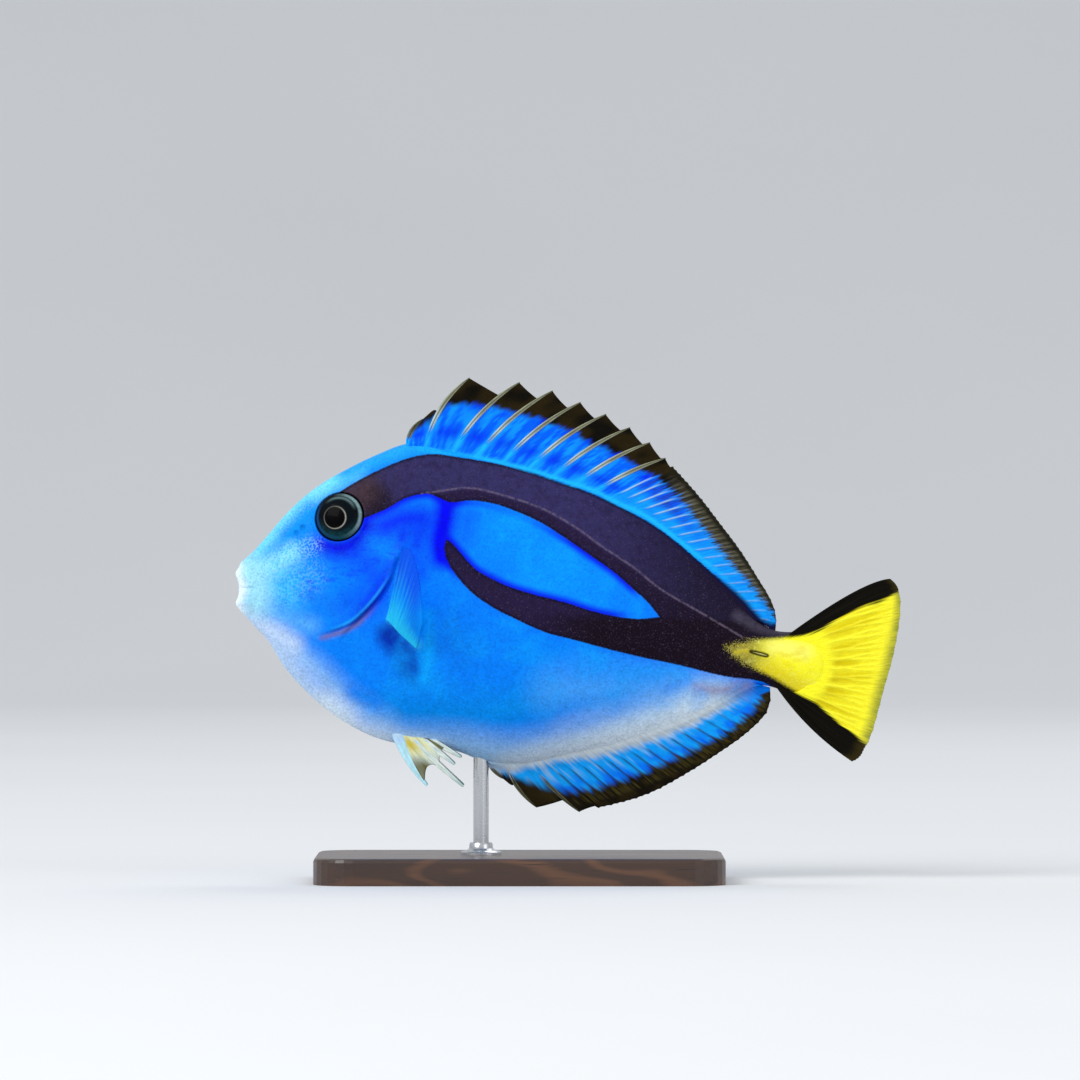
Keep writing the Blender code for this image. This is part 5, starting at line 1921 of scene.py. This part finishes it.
@dataclass
class TailFin:
    """The tail: sixteen branched rays that fan out from the end of the flesh."""

    ray_count: int = 16
    roots: tuple[Spot, ...] = (
        (125.2, -10), (129.8, -10.9), (132.7, -15), (132.9, -18.4), (131.6, -22.4),
        (128.4, -24.8), (122.4, -23.2),
    )
    tips: tuple[Spot, ...] = (
        (147.5, 2.1), (149.6, -0.7), (149.9, -5), (149, -11.9), (147.6, -18),
        (146.3, -22.3), (144.8, -28.2), (142.9, -34.4), (141.2, -37.4), (139, -39.2),
    )
    edge_bow: Spot = (1.3, -1.1)
    edge_bend: Spot = (0.78, 0.5)
    yellow: Colour = display(255, 246, 50)
    # light: painted highlight on the ray crests
    light: Colour = display(255, 250, 62)
    # groove: painted shade in the valleys between the rays
    groove: Colour = display(218, 198, 4)
    fold: Colour = display(214, 190, 2)
    rear: Colour = display(142, 144, 56)
    pale: Colour = display(252, 246, 40)
    black: Colour = display(8, 7, 6)
    brown: Colour = display(54, 46, 16)

    def rays(self) -> list[Ray]:
        """Places the rays from the upper edge to the lower.

        Returns:
            The rays in order.
        """
        roots, tips = Path(self.roots), Path(self.tips)
        rays = []
        for share in np.linspace(0, 1, self.ray_count):
            upper, lower = self.edge_bow
            bow = upper * max(1 - 3 * share, 0) + lower * max(3 * share - 2, 0)
            first, rest = self.edge_bend
            bend = first + (rest - first) * min(3 * share, 1)
            rays.append(Ray(in_middle(*roots.at(share)), in_middle(*tips.at(share)), bow, bend))
        return rays

    def reach(self, web: Array, f: Array) -> Array:
        """Gives the slightly frayed rear margin.

        Args:
            web: Each web's number.
            f: The share of the way across it.

        Returns:
            The reach, as a share of the rays' length.
        """
        across = (web + f) / (self.ray_count - 1)
        corner = 0.026 * (web == 0) + 0.006 * (web == 1) + 0.02 * (web == self.ray_count - 2)
        frayed = 0.006 * np.abs(np.sin(4 * np.pi * f)) * ease(0, 0.1, across)
        return 0.994 + (corner - 0.006) * np.sin(np.pi * f) - frayed

    def colour(self, g: FinGrid) -> Array:
        """Paints the fin.

        Args:
            g: The fin's grid.

        Returns:
            Its colours.
        """
        fine = Grain(31).at(g.s * 15, g.v * 3)
        broad = Grain(32).at(g.s * 1.3, g.v * 1.4)
        coating = Coating(self.yellow, g.s.shape)
        # painted shade: deeper yellow in the valleys between the ray crests
        shaded_valley = 1 - g.crest
        deep = shaded_valley * ease(0.02, 0.2, g.v) * fade(0.6, 0.98, g.v)
        coating.lay(self.groove, deep * (0.25 + 0.4 * broad))
        folds = (0.5 + 0.5 * np.cos(2 * np.pi * g.s * 9 / (self.ray_count - 1) + 2 * broad)) ** 2
        long_fold = ease(0.02, 0.16, g.v) * fade(0.3, 0.5 + 0.5 * broad, g.v)
        coating.lay(self.fold, 0.8 * folds * long_fold)
        # painted highlight: paler yellow on the ray crests
        coating.lay(self.light, g.crest * (0.2 + 0.4 * fine) * fade(0.8, 1, g.v))
        coating.lay(self.pale, 0.7 * fade(0.02, 0.16, g.v))
        rear = fade(0.2, 3.2, g.edge)
        coating.lay(self.rear, rear * (0.65 + 0.35 * fine))
        depth = Marks(g.x, g.z).yellow()
        ragged = 0.7 * (fine - 0.5)
        black = Coating(self.black, g.s.shape)
        tips = fade(0.4, 3.6, g.edge + 1.2 * (fine - 0.5))
        black.lay(self.brown, np.maximum(0.12 * fine, 0.8 * tips))
        return coating.lay(black.colours, fade(-0.35, 0.35, depth + ragged))

    def build(self) -> Piece:
        """Makes the fin.

        Returns:
            The fin, without its finish.
        """
        sheet = Sheet(
            "tail_rays", self.rays(), self.reach, columns=20, rows=90, sunk=3,
            half=(0.95, 0.12, 1.2), flare=(0.85, 3.2), wave=0.12,
            forking=Forking(
                height=(0.22, 0.09), width=(0.42, 0.14),
                forks=((0.24, 0.22), (0.52, 0.11), (0.78, 0.055)),
            ),
        )
        return sheet.build(self.colour)

    def dress(self, fin: Piece, material: Material) -> None:
        """Finishes the fin in place of its solid."""
        dress(fin, material, "yellow_fin", "tail_fin")


@dataclass
class PectoralFin:
    """A raised and spread fin on the flank, behind the gill cover."""

    side: Side
    body: Body
    ray_count: int = 14
    root: tuple[Spot, Spot] = ((34.4, -6.7), (41.2, -13))
    spread: tuple[tuple[float, tuple[float, float, float]], ...] = (
        (0, (3.6, 15.6, 15.4)), (0.12, (4.3, 17.8, 16.8)), (0.35, (4.7, 18.3, 13.2)),
        (0.65, (3.4, 15.3, 9.3)), (1, (1.2, 10.4, 5.3)),
    )
    web: Colour = display(3, 150, 248)
    # base: painted highlight of the fleshy base, lit from above
    base: Colour = display(40, 206, 248)
    ray: Colour = display(70, 206, 250)
    tip: Colour = display(3, 78, 236)

    def rays(self) -> list[Ray]:
        """Places the rays from the front edge to the back.

        Returns:
            The rays in order.
        """
        (x0, z0), (x1, z1) = self.root
        shares = [share for share, _ in self.spread]
        parts = [Curve(list(zip(shares, part))) for part in zip(*(r for _, r in self.spread))]
        rays, sign = [], self.side.value
        for f in np.linspace(0, 1, self.ray_count):
            x, z = x0 + (x1 - x0) * f, z0 + (z1 - z0) * f
            y = float(self.body.half_thickness(x, self.body.level(x, z)))
            dx, dy, dz = (float(part(f)) for part in parts)
            rays.append(Ray((x, sign * y, z), (x + dx, sign * (y + dy), z + dz)))
        return rays

    def reach(self, web: Array, f: Array) -> Array:
        """Gives the scalloped margin."""
        return 1 - 0.012 * np.abs(np.sin(2 * np.pi * f)) - 0.022 * np.sin(np.pi * f)

    def colour(self, g: FinGrid) -> Array:
        """Paints the fin.

        Args:
            g: The fin's grid.

        Returns:
            Its colours.
        """
        fine = Grain(41).at(g.s * 12, g.v * 5)
        coating = Coating(self.web, g.s.shape)
        coating.lay(self.tip, 0.95 * ease(0.22, 0.75, g.v + 0.1 * (fine - 0.5)))
        shown = g.crest * (0.2 + 0.6 * fine) * fade(0.6, 1, g.v)
        coating.lay(self.ray, 0.5 * shown * (1 - 0.6 * ease(3, 9, g.s)))
        # painted highlight: the fleshy base is bright where it is lit from above
        speck = fade(0, 0.4, g.v + 0.34 * (fine - 0.5))
        coating.lay(self.base, 0.9 * speck)
        hidden = ease(5, 10.5, g.s) * ease(0.12, 0.4, g.v)
        return coating.lay(Marks(g.x, g.z).ground(), 0.9 * hidden)

    def build(self) -> Piece:
        """Makes the fin.

        Returns:
            The fin, without its finish.
        """
        sheet = Sheet(
            f"pectoral_rays_{self.side.label}", self.rays(), self.reach, columns=12, rows=60,
            sunk=4.4, half=(0.55, 0.1, 2.6), flare=(0.15, 1.2), normal=None, wave=0,
            forking=Forking(
                height=(0.035, 0.025), width=(0.18, 0.1), forks=((0.35, 0.17), (0.68, 0.09)),
            ),
        )
        return sheet.build(self.colour)

    def dress(self, fin: Piece, material: Material) -> None:
        """Finishes the fin in place of its solid."""
        dress(fin, material, "blue_fin", f"pectoral_fin_{self.side.label}")


@dataclass
class PelvicFin:
    """A small fin under the breast: one stout spine and three rays."""

    side: Side
    body: Body
    root_y: float = 2.1
    root_lift: float = 1.7
    rods: tuple[tuple[float, tuple[float, float, float], float], ...] = (
        (36.7, (43.3, 5.4, -44.5), -0.7), (39.4, (51.5, 7.2, -44.6), -0.2),
        (41.8, (49.5, 5.4, -39.7), 0), (43.3, (51, 4.2, -38.1), 0),
    )
    webs: tuple[Spot, ...] = ((0.08, 0.44), (0.42, 0.4), (0.4, 0.5))
    spine: Colour = display(190, 236, 248)
    ray: Colour = display(222, 228, 216)
    shade: Colour = display(120, 168, 176)
    olive: Colour = display(84, 80, 30)
    yellow: Colour = display(196, 176, 52)
    cream: Colour = display(226, 226, 170)
    light: Colour = display(196, 208, 196)
    belly: Colour = display(176, 208, 238)

    def rays(self) -> list[Ray]:
        """Places the spine and the rays.

        Returns:
            The rays in order.
        """
        rays = []
        for x, (tip_x, out, tip_z), bow in self.rods:
            root_z = float(self.body.belly(x)) + self.root_lift
            sign = self.side.value
            rays.append(Ray((x, sign * self.root_y, root_z), (tip_x, sign * out, tip_z), bow))
        return rays

    def reach(self, web: Array, f: Array) -> Array:
        """Gives how far out each web reaches.

        Args:
            web: Each web's number.
            f: The share of the way across it.

        Returns:
            The reach, as a share of the rays' length.
        """
        near, far = np.array(self.webs)[web].T
        deep = np.where(web == 0, 0.62, 0.2)
        return 1 - (near * (1 - f) + far * f + deep * f * (1 - f))

    def colour(self, g: FinGrid) -> Array:
        """Paints the webs.

        Args:
            g: The fin's grid.

        Returns:
            Its colours.
        """
        fine = Grain(51).at(g.s * 9, g.v * 5)
        coating = Coating(self.light, g.s.shape)
        coating.lay(self.cream, 0.8 * fade(0.25, 0.5, g.v))
        first = fade(0.55, 0.95, g.s)
        coating.lay(self.olive, first * ease(0.3, 0.6, g.v) * (0.75 + 0.25 * fine))
        coating.lay(self.olive, 0.5 * bell(g.f - 0.5, 0.2) * ease(0.3, 0.9, fine))
        coating.lay(self.olive, 0.9 * ease(2.25, 2.6, g.s))
        return coating.lay(self.yellow, bell(g.v - 0.14, 0.12) * bell(g.s - 0.55, 0.35))

    def spine_colour(self, k: Array, v: Array, turn: Array) -> Array:
        """Paints the spine and the rays, pale with a grey groove.

        Args:
            k: The spine's number.
            v: The share of the way out.
            turn: The turn round the spine.

        Returns:
            The colours.
        """
        grain = Grain(52).at(k * 3.1 + turn, v * 9)
        first = (k == 0).astype(float)
        coating = Coating(self.ray, v.shape)
        coating.lay(self.spine, first)
        coating.lay(self.shade, 0.3 * bell(np.cos(turn), 0.3) + 0.3 * grain)
        coating.lay(self.shade, 0.5 * ease(0.75, 1, v) * (1 - first))
        return coating.lay(self.belly, 0.85 * fade(0.04, 0.24, v))

    def build(self) -> list[Piece]:
        """Makes the webs and the rays.

        Returns:
            The pieces, without their finish.
        """
        rays = self.rays()
        across = np.cross(rays[0].tip - rays[0].root, rays[-1].tip - rays[-1].root)
        across /= np.linalg.norm(across)
        label = self.side.label
        sheet = Sheet(
            f"pelvic_web_{label}", rays, self.reach, first_soft=9, columns=18, rows=40, sunk=2,
            half=(0.32, 0.1, 1), flare=(0.2, 0.8), normal=tuple(across), wave=0.1,
        )
        thick = Spines(
            f"pelvic_spine_{label}", rays[:1], width=(1.3, 0.16), swell=0, depth=(0.6, 0.1),
            taper=0.8, groove=0.2, sunk=2, plane=tuple(across),
        )
        thin = Spines(
            f"pelvic_rays_{label}", rays[1:], width=(0.66, 0.2), swell=0.12, depth=(0.42, 0.16),
            taper=0.7, groove=0.3, sunk=2, plane=tuple(across),
        )
        pieces = [sheet.build(self.colour), thick.build(self.spine_colour)]
        return [*pieces, thin.build(lambda k, v, turn: self.spine_colour(k + 1, v, turn))]

    def dress(self, pieces: list[Piece], material: Material) -> None:
        """Finishes the fin in place of its solid."""
        for piece in pieces:
            dress(piece, material, "pale_fin", f"pelvic_fin_{self.side.label}")


@dataclass
class TailBlade:
    """The folded blade in its groove beside the tail."""

    side: Side
    skin: Skin
    tip: Spot = (116.3, -14.35)
    heel: Spot = (119.6, -15.2)
    width: float = 0.34
    half_depth: float = 0.5
    sunk: float = 0.2
    stand_out: float = 0.42
    rows: int = 30
    sides: int = 16
    bone: Colour = display(176, 170, 96)
    edge: Colour = display(46, 40, 24)

    def build(self) -> Piece:
        """Makes the blade as a flattened, pointed body.

        Returns:
            The blade, without its finish.
        """
        sign = self.side.value
        share = np.linspace(0, 1, self.rows)
        x = self.tip[0] + (self.heel[0] - self.tip[0]) * share
        z = self.tip[1] + (self.heel[1] - self.tip[1]) * share
        body = self.skin.body
        arch = np.sin(np.pi * share) ** 0.6
        y = body.half_thickness(x, body.level(x, z)) - self.sunk + self.stand_out * arch
        swell = np.sin(np.pi * np.clip(share, 0, 0.97)) ** 0.55 * (0.35 + 0.65 * share)
        turn = full_turn(self.sides)
        ring_z = np.cos(turn)[None, :] * (self.width * swell)[:, None]
        ring_y = np.sin(turn)[None, :] * (self.half_depth * swell)[:, None]
        points = np.stack([
            np.repeat(x[:, None], self.sides, axis=1), sign * (y[:, None] + ring_y),
            z[:, None] + ring_z,
        ], axis=-1)
        faces = tube_faces(self.rows, self.sides)
        blade = make_piece(f"tail_blade_{self.side.label}", points.reshape(-1, 3), faces)
        shade = np.abs(np.cos(turn))[None, :] ** 3 * np.ones((self.rows, 1))
        coating = Coating(self.bone, points.shape[:2])
        paint(blade, coating.lay(self.edge, 0.85 * shade))
        return blade

    def dress(self, blade: Piece, material: Material) -> None:
        """Finishes the blade, which has no solid of its own."""
        dress(blade, material, "yellow_skin")


@dataclass
class Stand:
    """The wooden base and the steel rod, with a turned collar where the rod enters the base."""

    rod_x: float = 55.3
    base_top: float = 6.0 - MOUTH_HEIGHT
    turns: int = 96
    profile: tuple[Spot, ...] = (
        (1.85, 0), (4.6, 0), (4.6, 0.5), (4.3, 0.8), (3.2, 1), (2.7, 1.4), (2.6, 2.4),
        (2.4, 2.7), (1.85, 2.7),
    )

    def collar(self) -> Piece:
        """Turns the collar from its profile, as radius and height over the base.

        Returns:
            The collar, without its finish.
        """
        turn = full_turn(self.turns)
        radius, height = np.array(self.profile).T
        points = np.stack([
            self.rod_x + np.cos(turn)[:, None] * radius, np.sin(turn)[:, None] * radius,
            self.base_top + np.repeat(height[None, :], self.turns, axis=0),
        ], axis=-1)
        faces = grid_faces(*points.shape[:2], around=(True, True))
        collar = make_piece("rod_collar", points.reshape(-1, 3), faces)
        collar.data.set_sharp_from_angle(angle=math.radians(35))
        return collar

    def dress(self, wood: Material, steel: Material) -> None:
        """Finishes the two solids that stay, and adds the collar.

        Args:
            wood: The base's finish.
            steel: The rod's and the collar's.
        """
        for name, material in (("stand_base", wood), ("stand_rod", steel)):
            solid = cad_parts[name]
            solid.data.materials.clear()
            solid.data.materials.append(material)
            log.info("%s: solid kept, %s", name, material.name)
        dress(self.collar(), steel, "stand_steel")


@dataclass
class Studio:
    """The pale floor that curves up all round, the soft lights and the camera."""

    floor_radius: float = 2.05
    curve_radius: float = 2.0
    steepest: float = 62.0
    camera_distance: float = 1.9
    view_width: float = 0.2432
    view_middle: tuple[float, float] = (-0.00643, 0.0768)
    sensor: float = 36.0
    lamps: tuple[tuple[str, tuple[float, float, float], float, float, Colour], ...] = (
        ("front_light", (-1.05, -1.05, 1.15), 1, 17.5, (1, 0.99, 0.97)),
        ("side_light", (1.2, -1.2, 0.6), 0.9, 4, (0.96, 0.98, 1)),
        ("back_light", (0.5, 1.2, 1.7), 1, 7, (0.97, 0.99, 1)),
    )
    room_light: tuple[Colour, float] = ((0.93, 0.96, 1), 0.7)
    aim: Vector = field(default_factory=lambda: Vector((0, 0, 0.07)))

    def floor(self, material: Material) -> None:
        """Makes the floor and its curved edge as one surface.

        Args:
            material: Its paper.
        """
        bend = np.linspace(0, math.radians(self.steepest), 16)
        radius = [0, *np.linspace(0.3, self.floor_radius, 6)]
        profile = [(r, 0) for r in radius]
        profile += [
            (self.floor_radius + self.curve_radius * math.sin(b),
             self.curve_radius * (1 - math.cos(b))) for b in bend[1:]
        ]
        turns = 96
        turn = full_turn(turns)
        rings = np.array([
            [(r * math.cos(t), r * math.sin(t), h) for r, h in profile[1:]] for t in turn
        ])
        high = rings.shape[1]
        points = np.concatenate([rings.reshape(-1, 3), np.zeros((1, 3))])
        first = np.arange(turns) * high
        fan = np.stack([np.full(turns, len(points) - 1), first, np.roll(first, -1)], axis=1)
        curved = grid_faces(turns, high, around=(True, False))[:, [0, 3, 2, 1]]
        floor = make_mesh("studio_floor", points, [*fan.tolist(), *curved.tolist()])
        floor.data.materials.append(material)

    def light(self, name: str, place: Vector, size: float, power: float, warmth: Colour) -> None:
        """Hangs a square soft light that faces the fish.

        Args:
            name: The light's name.
            place: Where it hangs.
            size: Its width.
            power: Its strength in watts.
            warmth: Its colour.
        """
        data = bpy.data.lights.new(name, "AREA")
        data.shape = "SQUARE"
        data.size = size
        data.energy = power
        data.color = warmth
        lamp = add_object(name, data)
        lamp.location = place
        lamp.rotation_euler = (self.aim - place).to_track_quat("-Z", "Y").to_euler()

    def lights(self) -> None:
        """Hangs the lights and sets the soft light of the room."""
        for name, place, size, power, warmth in self.lamps:
            self.light(name, Vector(place), size, power, warmth)
        world = bpy.data.worlds.new("room")
        world.use_nodes = True
        background = world.node_tree.nodes["Background"]
        colour, strength = self.room_light
        background.inputs["Color"].default_value = (*colour, 1)
        background.inputs["Strength"].default_value = strength
        bpy.context.scene.world = world

    def camera(self) -> None:
        """Sets the camera square on to the fish's left side."""
        data = bpy.data.cameras.new("camera")
        data.sensor_width = self.sensor
        data.lens = self.sensor * self.camera_distance / self.view_width
        data.clip_end = 20
        camera = add_object("camera", data)
        camera.location = (self.view_middle[0], -self.camera_distance, self.view_middle[1])
        camera.rotation_euler = (math.radians(90), 0, 0)
        bpy.context.scene.camera = camera

    def build(self, material: Material) -> None:
        """Sets up the whole studio.

        Args:
            material: The floor's paper.
        """
        self.floor(material)
        self.lights()
        self.camera()
        bpy.context.scene.view_settings.view_transform = "Standard"


def main() -> None:
    """Builds and dresses the fish, its stand and the studio."""
    logging.basicConfig(level=logging.INFO, format="%(name)s: %(message)s")
    body = Body()
    skin = Skin(body)
    skin_material = SkinFinish().material()
    skin.dress(skin.build(), skin_material)

    eye_material = EyeFinish().material()
    blade_material = FinFinish("blade_bone", (0.3, 0.4)).material()
    for side in Side:
        place = EyePlace(side, body)
        eye = Eye(place)
        eye.dress(eye.build(), eye_material)
        rim = Orbit(place, skin)
        rim.dress(rim.build(), skin_material)
        blade = TailBlade(side, skin)
        blade.dress(blade.build(), blade_material)

    blue_material = FinFinish("blue_fin_membrane").material()
    dorsal = DorsalFin(body)
    dorsal.dress(dorsal.build(), blue_material)
    anal = AnalFin(body)
    anal.dress(anal.build(), blue_material)
    tail = TailFin()
    tail.dress(tail.build(), FinFinish("yellow_fin_membrane", (0.36, 0.52)).material())
    pale_material = FinFinish("pale_fin_membrane", (0.35, 0.5)).material()
    for side in Side:
        pectoral = PectoralFin(side, body)
        pectoral.dress(pectoral.build(), blue_material)
        pelvic = PelvicFin(side, body)
        pelvic.dress(pelvic.build(), pale_material)

    Stand().dress(WoodFinish().material(), SteelFinish().material())
    Studio().build(FloorFinish().material())


if __name__ == "__main__":
    main()
